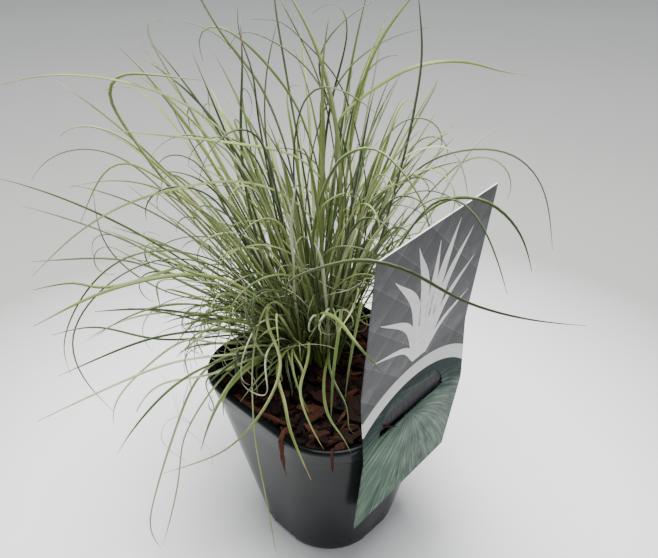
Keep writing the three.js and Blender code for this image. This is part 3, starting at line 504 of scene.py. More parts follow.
@dataclass(frozen=True)
class Bark:
    """Shredded conifer bark: red-brown chips with dark cracks and fibrous faces."""

    stops: Stops = (
        (0.0, "0a0504"), (0.3, "190c07"), (0.55, "2e170e"), (0.8, "4c2919"), (1.0, "6a412a"))
    pore: str = "120a07"

    def make(self) -> Material:
        """Makes the finish of the mulch, which reads the values tint, grain and cross.

        Returns:
            The bark.
        """
        n = Nodes("shredded_bark", 0.82, 0.18)
        tint = n.value("tint")
        fibre = n.streaks(5.0, [(n.value("grain"), 2.4), (n.value("cross"), 26.0), (tint, 40.0)], 0.65)
        pores = n.noise(620.0, 3.0)
        shade = n.plus(tint, n.spread(fibre, 0.3, 0.72, -0.2, 0.2), clamp=True)
        colour = n.mix(n.spread(pores, 0.5, 0.78, 0.0, 0.6), n.ramp(shade, self.stops), rgb(self.pore))
        rough = n.spread(fibre, 0.3, 0.7, 0.62, 0.95)
        return n.dress(colour, rough, (n.plus(fibre, n.times(pores, 0.5)), 0.8, 0.0007))


@dataclass(frozen=True)
class LeafSkin:
    """Sedge leaf: five greens, a pale edge, fine veins, an olive foot and a dry tip.

    Attributes:
        name: The name of the material.
        greens: The greens, from the darkest leaves to the most silvery.
        vein: The colour of the veins.
        rim: The colour of the edges.
        foot: The colour of the foot.
        foot_share: How much of the foot's colour shows.
        dead: The browns of a dry tip.
    """

    name: str
    greens: Stops = (
        (0.0, "1c2e09"), (0.24, "40571a"), (0.5, "6d8035"), (0.76, "9fa967"), (1.0, "cfd3bd"))
    vein: str = "2b4513"
    rim: str = "d0d4c0"
    foot: str = "6f7f36"
    foot_share: float = 0.6
    dead: Stops = ((0.35, "8a5a3c"), (0.62, "c2a98a"))

    def make(self) -> Material:
        """Makes the finish of a clump, which reads the values tint, along, edge and dry.

        Returns:
            The leaf's finish.
        """
        n = Nodes(self.name, 0.44, 0.26)
        along, edge, tint = n.value("along"), n.value("edge"), n.value("tint")
        drift = n.noise(34.0, 3.0)
        green = n.plus(tint, n.spread(drift, 0.25, 0.75, -0.16, 0.16), clamp=True)
        vein = n.math("SINE", n.times(edge, 22.0))
        colour = n.mix(n.spread(vein, -1.0, 1.0, 0.0, 0.14), n.ramp(green, self.greens), rgb(self.vein))
        rim = n.times(n.math("POWER", edge, 2.6), n.spread(along, 0.0, 0.3, 0.08, 0.3))
        colour = n.mix(rim, colour, rgb(self.rim))
        foot = n.spread(along, 0.015, 0.14, self.foot_share, 0.0)
        colour = n.mix(foot, colour, rgb(self.foot))
        past = n.minus(along, n.minus(1.0, n.value("dry")))
        past = n.plus(past, n.spread(n.noise(150.0, 2.0), 0.3, 0.7, -0.02, 0.02))
        tip = n.ramp(n.noise(90.0, 2.0), self.dead)
        colour = n.mix(n.spread(past, 0.0, 0.09, 0.0, 0.92), colour, tip)
        rough = n.spread(drift, 0.3, 0.7, 0.34, 0.52)
        return n.dress(colour, rough, (vein, 0.25, 0.0002))


@dataclass(frozen=True)
class DryThread:
    """Bleached dead leaf threads, pale and slightly silky."""

    tones: Stops = ((0.3, "8f9068"), (0.5, "bdbc98"), (0.75, "d8d3bd"))

    def make(self) -> Material:
        """Makes the finish of the threads.

        Returns:
            The threads' finish.
        """
        n = Nodes("bleached_leaf_thread", 0.5, 0.4)
        colour = n.ramp(n.noise(60.0, 3.0), self.tones)
        return n.dress(colour, None, (n.noise(900.0, 2.0), 0.3, 0.0002))


@dataclass(frozen=True)
class LabelPrint:
    """Printed card face: slate tiles, a white arc and a soft picture of fine grass.

    The sheet's own measures come from the values across and along, and the
    value fold is one on the tongue. The arc's middle and the place that the
    grass fans out from are given in the sheet. The tongue's lower part is a
    painted reflection of the pot's glossy lip in violet-grey, under a teal darkened
    as painted shade, and their border lies somewhere between its two given bounds.
    """

    arc_across: float = 0.0
    arc_along: float = 87.0
    arc_inside: float = 66.9
    arc_outside: float = 75.6
    arc_soft: float = 0.15
    arc: str = "dddedd"
    tile: float = 25.0
    slate: Stops = ((0.0, "454648"), (0.45, "5b5c5e"), (1.0, "868789"))
    grass_across: float = -3.0
    grass_along: float = 128.0
    grass_droop: float = 0.012
    grass: Stops = ((0.0, "0c2726"), (0.22, "31493d"), (0.6, "5b7361"), (1.0, "9aaa94"))
    # painted light on the tongue: the lower part takes the violet-grey of a painted reflection of the pot's
    # glossy lip, and the teal above the grass tips is darkened as painted shade
    lip_reflection_from: float = 137.5
    lip_reflection_to: float = 143.5
    tips: Stops = ((0.0, "35503a"), (0.35, "15312c"), (1.0, "071c1d"))
    bare: Stops = ((0.0, "58555c"), (0.6, "353338"), (1.0, "28262b"))

    def _tiles(self, n: Nodes, across: Socket, along: Socket) -> Socket:
        """Makes the slate colour with its faint diamond tiles.

        Args:
            n: The finish's nodes.
            across: Place across the sheet.
            along: Place along the sheet.

        Returns:
            The colour.
        """
        shades = []
        for sign in ("ADD", "SUBTRACT"):
            part = n.math("FRACT", n.math("DIVIDE", n.math(sign, along, across), self.tile))
            lip = n.spread(part, 0.0, 0.06, 0.12, 0.0)
            fall = n.spread(part, 0.0, 1.0, 0.1, -0.08)
            shades.append(n.plus(lip, fall))
        stone = n.spread(n.noise(160.0, 5.0), 0.3, 0.7, -0.1, 0.1)
        shade = n.plus(n.plus(shades[0], shades[1]), n.plus(stone, 0.42), clamp=True)
        return n.ramp(shade, self.slate)

    def _grass(self, n: Nodes, across: Socket, along: Socket) -> Socket:
        """Makes the picture of fine leaves that arch out from low on the sheet.

        Args:
            n: The finish's nodes.
            across: Place across the sheet.
            along: Place along the sheet.

        Returns:
            The colour.
        """
        du = n.minus(across, self.grass_across)
        dv = n.plus(n.minus(along, self.grass_along), n.times(n.times(du, du), self.grass_droop))
        reach = n.distance(du, dv)
        way_x, way_y = n.math("DIVIDE", du, reach), n.math("DIVIDE", dv, reach)
        broad = n.streaks(3.0, [(way_x, 9.0), (way_y, 9.0), (reach, 0.03)], 0.6)
        fine = n.streaks(2.0, [(way_x, 42.0), (way_y, 42.0), (reach, 0.05)], 0.6)
        cloud = n.streaks(2.0, [(across, 0.05), (along, 0.05)], layer=4.0)
        glow = n.plus(n.times(broad, 0.5), n.times(fine, 0.6))
        shade = n.plus(n.spread(across, -30.0, 45.0, 0.0, 0.16), n.spread(cloud, 0.35, 0.7, 0.0, 0.2))
        depth = n.plus(n.spread(along, 122.0, 150.0, 0.0, 0.75), shade)
        light = n.minus(n.spread(glow, 0.36, 0.74, 0.08, 1.0), depth, clamp=True)
        return n.ramp(light, self.grass)

    def _tongue(self, n: Nodes, across: Socket, along: Socket) -> Socket:
        """Makes the tongue's colour: printed grass tips on teal darkened to near-black as painted shade,
        over a violet-grey lower part that is a painted reflection of the pot's glossy lip.

        Args:
            n: The finish's nodes.
            across: Place across the sheet.
            along: Place along the sheet.

        Returns:
            The colour.
        """
        ragged = n.streaks(3.0, [(across, 0.8), (along, 0.1)], layer=2.0)
        over = n.minus(along, n.spread(ragged, 0.32, 0.68, self.lip_reflection_from, self.lip_reflection_to))
        # printed grass tips, with painted shade: the teal darkens to near-black above them
        tips = n.ramp(n.spread(over, 0.0, 7.0), self.tips)
        # painted reflection of the pot's lip: violet-grey, lighter towards the tongue's lower end
        bare = n.ramp(n.spread(over, -16.0, 0.0), self.bare)
        return n.mix(n.spread(over, -0.5, 0.5, 1.0, 0.0), tips, bare)

    def make(self) -> Material:
        """Makes the finish of the printed face.

        Returns:
            The print.
        """
        n = Nodes("printed_card_face", 0.42, 0.04)
        across, along = n.value("across"), n.value("along")
        reach = n.distance(n.minus(across, self.arc_across), n.minus(along, self.arc_along))
        beyond, inside = (n.spread(reach, radius - self.arc_soft, radius + self.arc_soft)
                          for radius in (self.arc_outside, self.arc_inside))
        picture = n.mix(n.value("fold"), self._grass(n, across, along), self._tongue(n, across, along))
        low = n.mix(inside, picture, rgb(self.arc))
        colour = n.mix(beyond, low, self._tiles(n, across, along))
        scratch = n.streaks(3.0, [(across, 0.9), (along, 0.05)], layer=1.0)
        rough = n.spread(scratch, 0.3, 0.75, 0.3, 0.48)
        return n.dress(colour, rough, (n.noise(700.0, 2.0), 0.06, 0.0002))


@dataclass(frozen=True)
class CardWhite:
    """White stock at the label's top edge, on its back and in its printed strokes."""

    tones: Stops = ((0.3, "dcdcda"), (0.7, "efefed"))

    def make(self) -> Material:
        """Makes the white finish.

        Returns:
            The white card.
        """
        n = Nodes("white_card_stock", 0.45, 0.5)
        colour = n.ramp(n.noise(240.0, 3.0), self.tones)
        return n.dress(colour, None, (n.noise(900.0, 2.0), 0.05, 0.0002))


@dataclass(frozen=True)
class StudioPaper:
    """Pale paper with painted light: palest under the plant like a painted pool of light, greyer round it,
    and pale again far off, where it is painted lighter to make up for the lamps' falloff.

    Attributes:
        reach: Distance from the plant, in metres, that the tones run over.
        tones: The tones, from the plant outwards.
    """

    reach: float = 2.2
    # painted light: the near stop lightens the paper under the plant, and the far stops lighten it against
    # the lamps' falloff
    tones: Stops = (
        (0.1, "fafafa"), (0.2, "b4b4b1"), (0.42, "bebebb"), (0.66, "dadad7"), (1.0, "f3f3f0"))

    def make(self) -> Material:
        """Makes the finish of the studio floor.

        Returns:
            The paper.
        """
        n = Nodes("pale_studio_paper_painted_light", 0.85, 0.2)
        away = n.add("VectorMath", {0: n.place()}, operation="LENGTH").outputs["Value"]
        grain = n.spread(n.noise(3.0, 2.0), 0.3, 0.7, -0.004, 0.004)
        # painted light: the tone follows the distance from the plant, not the paper itself
        colour = n.ramp(n.plus(n.math("DIVIDE", away, self.reach), grain), self.tones)
        return n.dress(colour, None, (n.noise(260.0, 3.0), 0.05, 0.0005))


# Pot.


@dataclass
class Pot:
    """A square nursery pot with rounded corners, a collar and a rolled lip.

    Half-sides are measured across the flat sides.
    """

    height: float = 124.0
    rim_half: float = 65.0
    rim_corner: float = 35.5
    base_half: float = 43.1
    base_corner: float = 37.4
    wall_top_half: float = 61.4
    collar_half: float = 62.9
    collar_foot: float = 111.0
    lip_foot: float = 119.6
    lip_crest_half: float = 63.2
    lip_inside_half: float = 59.3
    lip_inside_z: float = 120.6
    wall: float = 1.6
    floor: float = 2.0
    corner_steps: int = 14
    side_steps: int = 6
    drain_holes: int = 8
    drain_radius: float = 5.0
    drain_ring: float = 30.0
    notch_high: float = 4.2
    notch_half_width: float = 10.5
    notch_back: float = 39.8

    def wall_half(self, z: float | Array) -> float | Array:
        """Returns the half-side of the outer wall at a height."""
        return self.base_half + (self.wall_top_half - self.base_half) * z / self.collar_foot

    def inside_half(self, z: float) -> float:
        """Returns the half-side of the space inside the pot at a height."""
        return min(float(self.wall_half(z)) - self.wall, self.lip_inside_half) - 0.35

    def ring(self, half: float, z: float) -> Array:
        """Makes the rounded square at a height, counter-clockwise.

        Args:
            half: Its half-side.
            z: The height.

        Returns:
            Its points.
        """
        share = z / self.height
        outline = between(self.base_half, self.rim_half, share)
        radius = between(self.base_corner, self.rim_corner, share) - (outline - half)
        points = []
        for corner in range(4):
            cx = (half - radius) * (1 if corner in (0, 3) else -1)
            cy = (half - radius) * (1 if corner < 2 else -1)
            for step in range(self.corner_steps + 1):
                angle = math.radians(corner * 90 + 90 * step / self.corner_steps)
                points.append((cx + radius * math.cos(angle), cy + radius * math.sin(angle), z))
            turn = math.radians(corner * 90 + 90)
            step_x, step_y = -math.sin(turn), math.cos(turn)
            start = np.array(points[-1])
            length = 2 * (half - radius)
            for k in range(1, self.side_steps):
                along = length * k / self.side_steps
                points.append((start[0] + step_x * along, start[1] + step_y * along, z))
        return np.array(points)

    def profile(self) -> list[tuple[float, float]]:
        """Lists the levels from the foot, over the lip, to the floor inside.

        Returns:
            Half-sides with their heights.
        """
        foot = [(self.base_half - 2.8, 0.0), (self.base_half - 1.4, 0.25), (self.base_half - 0.5, 1.0),
                (self.base_half + 0.1, 2.2), (self.base_half + 0.6, 4.0)]
        wall = [(float(self.wall_half(z)), z) for z in np.linspace(10, self.collar_foot - 1.0, 12)]
        collar = [(self.wall_top_half + 0.1, self.collar_foot),
                  (self.collar_half - 0.5, self.collar_foot + 0.7),
                  (self.collar_half - 0.05, self.collar_foot + 1.6),
                  (self.collar_half, self.lip_foot - 0.5), (self.collar_half + 0.3, self.lip_foot)]
        lip = [(self.rim_half - 0.5, self.lip_foot + 0.15), (self.rim_half - 0.05, self.lip_foot + 0.8),
               (self.rim_half, self.height - 2.0), (self.rim_half - 0.3, self.height - 0.9),
               (self.lip_crest_half + 1.0, self.height - 0.15), (self.lip_crest_half, self.height),
               (self.lip_crest_half - 1.4, self.height - 0.9),
               (self.lip_inside_half + 0.7, self.lip_inside_z + 1.1),
               (self.lip_inside_half, self.lip_inside_z - 0.3),
               (self.lip_inside_half, self.collar_foot - 1)]
        floor_half = float(self.wall_half(self.floor)) - self.wall
        inside = [(between(self.lip_inside_half, floor_half, share),
                   between(self.collar_foot - 1, self.floor, share)) for share in (0.5, 0.97, 1.0)]
        return foot + wall + collar + lip + inside

    def _drain_holes(self) -> Mesh:
        """Makes the round cutters of the drainage holes.

        Returns:
            The cutters as one mesh.
        """
        cutter = bmesh.new()
        for k in range(self.drain_holes):
            angle = (k + 0.5) * 2 * math.pi / self.drain_holes
            made = bmesh.ops.create_cone(cutter, cap_ends=True, segments=28, radius1=self.drain_radius * MM,
                                         radius2=self.drain_radius * MM, depth=8 * MM)
            shift = Vector((math.cos(angle), math.sin(angle), 0)) * self.drain_ring * MM
            bmesh.ops.translate(cutter, verts=made["verts"], vec=shift)
        return as_mesh("drain_cutter", cutter)

    @staticmethod
    def _foot_blocks(low: float, high: float, inner: float, outer: float,
                     half_width: float) -> Mesh:
        """Makes one block across the foot of each side.

        Args:
            low: Height of their undersides.
            high: Height of their tops.
            inner: Distance of their inner faces from the pot's axis.
            outer: Distance of their outer faces.
            half_width: Half of their width along the side.

        Returns:
            The four blocks.
        """
        blocks = bmesh.new()
        for side in range(4):
            made = bmesh.ops.create_cube(blocks, size=MM)["verts"]
            bmesh.ops.scale(blocks, verts=made, vec=(outer - inner, 2 * half_width, high - low))
            middle = ((inner + outer) / 2 * MM, 0, (low + high) / 2 * MM)
            bmesh.ops.translate(blocks, verts=made, vec=middle)
            turn = Matrix.Rotation(side * math.pi / 2, 3, "Z")
            bmesh.ops.rotate(blocks, verts=made, matrix=turn)
        return as_mesh("foot_blocks", blocks)

    def _finish_foot(self, piece: Object) -> None:
        """Cuts the drainage holes and the water notches under the four sides.

        Args:
            piece: The pot, which changes.
        """
        lining = self._foot_blocks(self.floor / 2, self.notch_high + self.wall, self.notch_back - self.wall,
                                   self.notch_back + self.wall, self.notch_half_width + self.wall)
        combine(piece, self._drain_holes(), Join.CUT)
        combine(piece, lining, Join.ADD)
        notches = self._foot_blocks(-1.0, self.notch_high, self.notch_back, self.rim_half,
                                    self.notch_half_width)
        combine(piece, notches, Join.CUT)

    def build(self, finish: Material) -> Object:
        """Makes the pot and puts it in place of its solid.

        Args:
            finish: Its plastic.

        Returns:
            The pot.
        """
        pile = Pile("nursery_pot")
        pile.add_rings(np.array([self.ring(half, z) for half, z in self.profile()]))
        piece = pile.build([finish])
        self._finish_foot(piece)
        piece.data.set_sharp_from_angle(angle=math.radians(40))
        carry(piece, "pot", ["pot"])
        return piece


def as_mesh(name: str, shape: bmesh.types.BMesh) -> Mesh:
    """Turns an edit mesh into a mesh, and frees it.

    Args:
        name: The name of the mesh.
        shape: The edit mesh.

    Returns:
        The mesh.
    """
    mesh = bpy.data.meshes.new(name)
    shape.to_mesh(mesh)
    shape.free()
    return mesh


class Join(Enum):
    """Ways to combine a piece with another body."""

    ADD = "UNION"
    CUT = "DIFFERENCE"


def combine(piece: Object, mesh: Mesh, how: Join) -> None:
    """Joins a piece with a closed mesh or cuts it, and keeps only the result.

    Args:
        piece: The object that changes.
        mesh: The other body, in the frame of the scene.
        how: Whether the other body is added or cut away.
    """
    other = linked("other_body", mesh)
    modifier = piece.modifiers.new("combine", "BOOLEAN")
    modifier.operation = how.value
    modifier.solver = "EXACT"
    modifier.object = other
    bpy.context.view_layer.update()
    evaluated = piece.evaluated_get(bpy.context.evaluated_depsgraph_get())
    result = bpy.data.meshes.new_from_object(evaluated)
    piece.modifiers.remove(modifier)
    old = piece.data
    result.name = old.name + "_done"
    piece.data = result
    bpy.data.meshes.remove(old)
    bpy.data.objects.remove(other)
    bpy.data.meshes.remove(mesh)


# Mulch.


@dataclass(frozen=True)
class Shred:
    """A long flat shred of bark: its width, its shade and the places that it runs through."""

    width: float
    tint: float
    points: tuple[Triple, ...]


@dataclass
class Mulch:
    """Shredded bark over the compost: a rough bed, chips, splinters and a few long shreds."""

    pot: Pot
    bed_low: float = 108.35
    bed_top: float = 112.6
    bed_rough: float = 2.2
    bed_levels: int = 9
    chips: int = 430
    splinters: int = 150
    scatter_reach: float = 60.0
    ceiling: float = 121.4
    shred_half: float = 0.35
    seed: int = 61000
    shreds: tuple[Shred, ...] = (
        Shred(2.6, 0.72, ((-61.2, 17.0, 124.4), (-60.6, 6.0, 124.2), (-58.8, -6.0, 123.4),
                          (-55.6, -17.0, 122.4), (-51.0, -26.0, 121.2))),
        Shred(3.0, 0.8, ((-55.5, -21.5, 121.5), (-61.0, -25.0, 124.9), (-65.6, -27.5, 123.2),
                         (-66.6, -29.0, 112.0), (-66.0, -30.6, 98.0))),
        Shred(2.4, 0.62, ((-49.0, -51.0, 121.4), (-54.0, -55.0, 124.8), (-57.2, -58.2, 121.0),
                          (-57.6, -58.8, 115.0))),
        Shred(1.4, 0.7, ((-21.0, -57.0, 121.0), (-24.0, -62.0, 128.0), (-23.4, -67.8, 131.4),
                         (-17.5, -69.4, 128.2))),
    )

    def _bed(self, pile: Pile) -> None:
        """Adds the rough bed under the chips, closed down to the compost.

        Args:
            pile: The mesh that it joins.
        """
        outline = self.pot.ring(self.pot.inside_half(self.bed_low) - 0.1, self.bed_low)
        rings = [outline]
        for level in range(self.bed_levels + 1):
            ring = outline * (1 - level / (self.bed_levels + 0.4))
            ring[:, 2] = [self.bed_top + self.bed_rough * noise.noise(Vector((x * 0.12, y * 0.12, 3.0)))
                          for x, y, _ in ring]
            if level == 0:
                ring[:, 2] = self.bed_top
            rings.append(ring)
        pile.add_rings(np.array(rings), tint=0.12, grain=0.0, cross=0.0)

    def _chip(self, pile: Pile, draws: Draws, centre: Array, size: Triple,
              tilt: float, tint: float) -> None:
        """Adds one splintered chip.

        Args:
            pile: The mesh that it joins.
            draws: The stream that shapes it.
            centre: Its middle.
            size: Its length, width and thickness.
            tilt: How far it leans from flat, in radians.
            tint: Its place between the darkest and the palest bark.
        """
        length, width, thick = size
        around, levels = 6, 5
        rings = np.empty((levels, around, 3))
        skew = draws.sway(0.3)
        for level in range(levels):
            share = level / (levels - 1) - 0.5
            taper = 1 - draws.between(0.25, 0.75) * (2 * abs(share)) ** 2
            for k in range(around):
                angle = 2 * math.pi * k / around
                jag = draws.between(0.78, 1.18)
                rings[level, k] = (share * length * draws.between(0.9, 1.06),
                                   math.cos(angle) * width / 2 * taper * jag + share * skew * length,
                                   math.sin(angle) * thick / 2 * draws.between(0.7, 1.1))
        turn, lean, roll = draws.next() * math.pi * 2, draws.sway(tilt), draws.sway(tilt)
        cr, sr = math.cos(roll), math.sin(roll)
        cl, sl = math.cos(lean), math.sin(lean)
        ct, st = math.cos(turn), math.sin(turn)
        rotate = (np.array([[ct, -st, 0], [st, ct, 0], [0, 0, 1]])
                  @ np.array([[cl, 0, sl], [0, 1, 0], [-sl, 0, cl]])
                  @ np.array([[1, 0, 0], [0, cr, -sr], [0, sr, cr]]))
        flat = rings.reshape(-1, 3)
        grain = flat[:, 0] / 10 + draws.next() * 9
        cross = flat[:, 1] / 10
        placed = flat @ rotate.T + centre
        placed[:, 2] -= max(0.0, placed[:, 2].max() - self.ceiling)
        pile.add_rings(placed.reshape(levels, around, 3), tint=tint, grain=grain, cross=cross)

    def _inside(self, x: float, y: float, spare: float) -> bool:
        """Tells whether a place lies inside the lip.

        Args:
            x: The place along X.
            y: The place along Y.
            spare: The room that it needs on all sides.

        Returns:
            Whether it has that room.
        """
        half = self.pot.lip_inside_half
        corner = self.pot.rim_corner - (self.pot.rim_half - half)
        return float(outside_square(np.array([x]), np.array([y]), half, corner)[0]) < -spare

    def _scatter(self, pile: Pile, count: int, length: tuple[float, float], slim: float, tilt: float,
                 seed: int) -> None:
        """Scatters chips of one kind over the bed.

        Args:
            pile: The mesh that they join.
            count: How many there are.
            length: The shortest and the longest.
            slim: Their width as a share of their length.
            tilt: How far they lean from flat, in radians.
            seed: The seed of the first one.
        """
        for number in range(count):
            draws = Draws(seed + number)
            long = draws.between(*length) * (0.6 + 0.4 * draws.next())
            for _ in range(20):
                x, y = draws.sway(self.scatter_reach), draws.sway(self.scatter_reach)
                if self._inside(x, y, 1.2 + 0.42 * long):
                    break
            wide = long * slim * draws.between(0.6, 1.3)
            rim = min(1.0, math.hypot(x, y) / 58)
            z = draws.between(self.bed_top - 0.5, self.bed_top + 5.2 + 1.6 * rim)
            tint = 0.1 + 0.75 * draws.next() ** 1.5
            self._chip(pile, draws, np.array([x, y, z]), (long, wide, draws.between(0.9, 2.6)), tilt, tint)

    def _shred(self, pile: Pile, shred: Shred, seed: int) -> None:
        """Adds one long flat shred.

        Args:
            pile: The mesh that it joins.
            shred: Its width, shade and places.
            seed: The seed of its unevenness.
        """
        draws = Draws(seed)
        path = smooth_path(np.array(shred.points), 22)
        path += np.array([[draws.sway(0.18) for _ in range(3)] for _ in path])
        sides, faces = frames(path, np.array([0.3, 1.0, 0.2]))
        rings = np.empty((len(path), 4, 3))
        for k, point in enumerate(path):
            share = k / (len(path) - 1)
            half = shred.width / 2 * (1 - 0.85 * abs(2 * share - 0.9) ** 3) * draws.between(0.8, 1.15)
            side, face = sides[k] * max(half, 0.2), faces[k] * self.shred_half
            rings[k] = [point + side, point + face, point - side, point - face]
        grain = np.repeat(np.linspace(0, 3, len(path)), 4)
        cross = np.tile([0.1, 0.0, -0.1, 0.0], len(path))
        pile.add_rings(rings, tint=shred.tint, grain=grain, cross=cross)

    def build(self, finish: Material) -> Object:
        """Makes the whole mulch and puts it in place of its solid.

        Args:
            finish: The bark.

        Returns:
            The mulch.
        """
        pile = Pile("shredded_bark_mulch")
        self._bed(pile)
        self._scatter(pile, self.chips, (6.0, 21.0), 0.42, 0.34, self.seed)
        self._scatter(pile, self.splinters, (8.0, 24.0), 0.1, 0.42, self.seed + 3000)
        for number, shred in enumerate(self.shreds):
            self._shred(pile, shred, self.seed + 7000 + number)
        piece = pile.build([finish], smooth=False)
        carry(piece, "bark", ["bark_mulch"])
        return piece


def outside_square(x: Array, y: Array, half: float | Array, radius: float) -> Array:
    """Measures how far places lie outside a rounded square round the pot's axis.

    Args:
        x: The places along X.
        y: The places along Y.
        half: The square's half-side.
        radius: The radius of its corners.

    Returns:
        The distances, which are negative inside.
    """
    dx = np.abs(x) - (half - radius)
    dy = np.abs(y) - (half - radius)
    at_corner = (dx > 0) & (dy > 0)
    return np.where(at_corner, np.hypot(dx, dy), np.maximum(dx, dy)) - radius


# Label.


class Face(Enum):
    """Material slots of the label."""

    PRINT = 0
    WHITE = 1


@dataclass
class CareLabel:
    """A stiff printed card on the rim, bent twice, with its tongue hooked inside the pot.

    Across and along are measured in the sheet, which is turned a little.
    The slopes of the bent parts are lean, outwards, and tuck, inwards, and angles are in
    degrees. The tongue runs over a crest and an inner place, each given along Y and Z.
    """

    thickness: float = 0.8
    off: float = 66.6
    left: float = -41.5
    right: float = 48.2
    top: float = 255.3
    bottom: float = 49.5
    turn: float = 5.25
    low_bend: float = 120.0
    high_bend: float = 165.0
    soft_bend: float = 6.0
    lean: float = 0.144
    tuck: float = 0.163
    centre: float = 3.0
    slot_width: float = 57.0
    slot_low: float = 128.7
    slot_rise: float = 23.0
    slot_centre: float = -0.5
    slot_steps: int = 40
    tongue_arc: float = 76.0
    tongue_recess: float = 0.7
    tongue_crest: tuple[float, float] = (-64.0, 126.6)
    tongue_inner: tuple[float, float] = (-60.8, 124.5)
    tongue_half: float = 18.0
    tongue_off: float = 57.6
    tongue_z: float = 118.0
    tongue_steps: int = 24
    columns: int = 30
    rows: int = 72

    def sheet_off(self, along: float) -> float:
        """Measures how far the middle plane stands off the pot's axis, with its soft bends.

        Args:
            along: Place along the sheet.

        Returns:
            The distance.
        """
        def soft(value: float) -> float:
            """Returns a value above zero and nothing below it, with a rounded start."""
            rounded = 0.5 * (value + math.sqrt(value * value + self.soft_bend))
            return rounded if abs(value) < 25 else max(0.0, value)
        above = soft(along - self.high_bend)
        below = soft(self.low_bend - along)
        return self.off + above * self.lean - below * self.tuck

    def on_sheet(self, across: float, along: float, lift: float = 0.0) -> Array:
        """Finds a place on the sheet.

        Args:
            across: Place across the sheet.
            along: Place along the sheet.
            lift: Height over the middle plane, towards the viewer.

        Returns:
            The point.
        """
        turn = math.radians(self.turn)
        du, dv = across - self.centre, along - self.low_bend
        x = self.centre + du * math.cos(turn) - dv * math.sin(turn)
        z = self.low_bend + du * math.sin(turn) + dv * math.cos(turn)
        return np.array([x, -(self.sheet_off(along) + lift), z])

    def in_sheet(self, x: Array, z: Array) -> tuple[Array, Array]:
        """Measures places in the sheet.

        Args:
            x: The places along X.
            z: Their heights.

        Returns:
            The same places across and along the sheet.
        """
        turn = math.radians(self.turn)
        dx, dz = x - self.centre, z - self.low_bend
        across = self.centre + dx * math.cos(turn) + dz * math.sin(turn)
        along = self.low_bend - dx * math.sin(turn) + dz * math.cos(turn)
        return across, along

    def _arch(self, angle: float, wider: float = 0.0, taller: float = 0.0) -> tuple[float, float]:
        """Returns the place across and along of a point on the slot's arch, in radians from its right."""
        return (self.slot_centre + (self.slot_width / 2 + wider) * math.cos(angle),
                self.slot_low + (self.slot_rise + taller) * math.sin(angle))

    def _sheet(self) -> Object:
        """Makes the sheet with its slot cut through.

        Returns:
            The sheet.
        """
        pile = Pile("care_label_card")
        us = np.linspace(self.left, self.right, self.columns + 1)
        half = self.thickness / 2
        rings = []
        for v in np.linspace(self.bottom, self.top, self.rows + 1):
            front = [self.on_sheet(u, v, half) for u in us]
            back = [self.on_sheet(u, v, -half) for u in us[::-1]]
            rings.append(front + back)
        pile.add_rings(np.array(rings))
        piece = pile.build([])
        outline = np.array([self.on_sheet(*self._arch(math.pi * k / self.slot_steps))
                            for k in range(self.slot_steps + 1)])
        cutter = Pile("slot_cutter")
        shift = np.array([0.0, 5.0, 0.0])
        cutter.add_rings(np.array([outline + shift, outline - shift]))
        made = cutter.build([])
        mesh = made.data
        bpy.data.objects.remove(made)
        combine(piece, mesh, Join.CUT)
        return piece

    def _tongue(self) -> Object:
        """Makes the tongue that folds back from the slot's arch and hooks inside the lip.

        Returns:
            The tongue.
        """
        pile = Pile("label_tongue")
        paths = []
        for k in range(self.tongue_steps + 1):
            s = 1 - 2 * k / self.tongue_steps
            angle = math.pi / 2 - s * math.radians(self.tongue_arc)
            start = self.on_sheet(*self._arch(angle, 0.2, 0.3), -self.tongue_recess)
            out = start[0] - self.centre
            crest_y, crest_z = self.tongue_crest
            crest = np.array([self.centre + out * 0.97, crest_y, min(crest_z, start[2] - 4.0)])
            inner = np.array([self.centre + out * 0.85, *self.tongue_inner])
            end = np.array([self.centre - self.tongue_half * s, -self.tongue_off, self.tongue_z])
            guides = np.array([start, start + (crest - start) * 0.5, crest, inner, end])
            paths.append(smooth_path(guides, self.tongue_steps + 1))
        lift = np.array([0.0, -self.thickness / 2, 0.0])
        rings = [[point + lift for point in row] + [point - lift for point in row[::-1]]
                 for row in zip(*paths)]
        pile.add_rings(np.array(rings))
        return pile.build([])

    def _measure(self, piece: Object, folded: bool) -> None:
        """Writes the sheet's own measures on a piece and sorts its faces into print and white.

        The back and the top edge of the sheet are white. Everything else is print.

        Args:
            piece: The sheet or the tongue.
            folded: Whether it is the tongue, which is print all over.
        """
        mesh = piece.data
        co = np.empty(len(mesh.vertices) * 3, np.float32)
        mesh.vertices.foreach_get("co", co)
        co = co.reshape(-1, 3).astype(float) / MM
        across, along = self.in_sheet(co[:, 0], co[:, 2])
        fold = np.full(len(across), float(folded))
        for name, numbers in (("across", across), ("along", along), ("fold", fold)):
            write_values(mesh, name, numbers)
        for polygon in mesh.polygons:
            facing = polygon.normal
            top_edge = facing.z > 0.7 and polygon.center.z > 200 * MM
            bare = not folded and (facing.y > 0.6 or top_edge)
            polygon.material_index = Face.WHITE.value if bare else Face.PRINT.value
            polygon.use_smooth = False

    def _strokes(self) -> list[tuple[float, list[tuple[float, float]]]]:
        """Lists the white strokes of a plain tuft.

        Returns:
            Their widths, each with its places across and along.
        """
        foot = (4.0, 166.0)
        tips = [(-34, 214, 5.0, -12), (-27, 236, 6.4, -9), (-12, 247, 6.8, -5), (5, 243, 4.6, 0),
                (19, 249, 6.6, 4), (33, 238, 6.0, 9), (41, 216, 5.0, 12), (-36, 190, 3.8, -13),
                (43, 191, 3.8, 13)]
        strokes = []
        for tip_u, tip_v, width, belly in tips:
            start = (foot[0] + tip_u * 0.12, foot[1])
            middle = (foot[0] + tip_u * 0.34 + belly * 0.2, between(foot[1], tip_v, 0.62))
            strokes.append((width, [start, middle, (float(tip_u), float(tip_v))]))
        return strokes

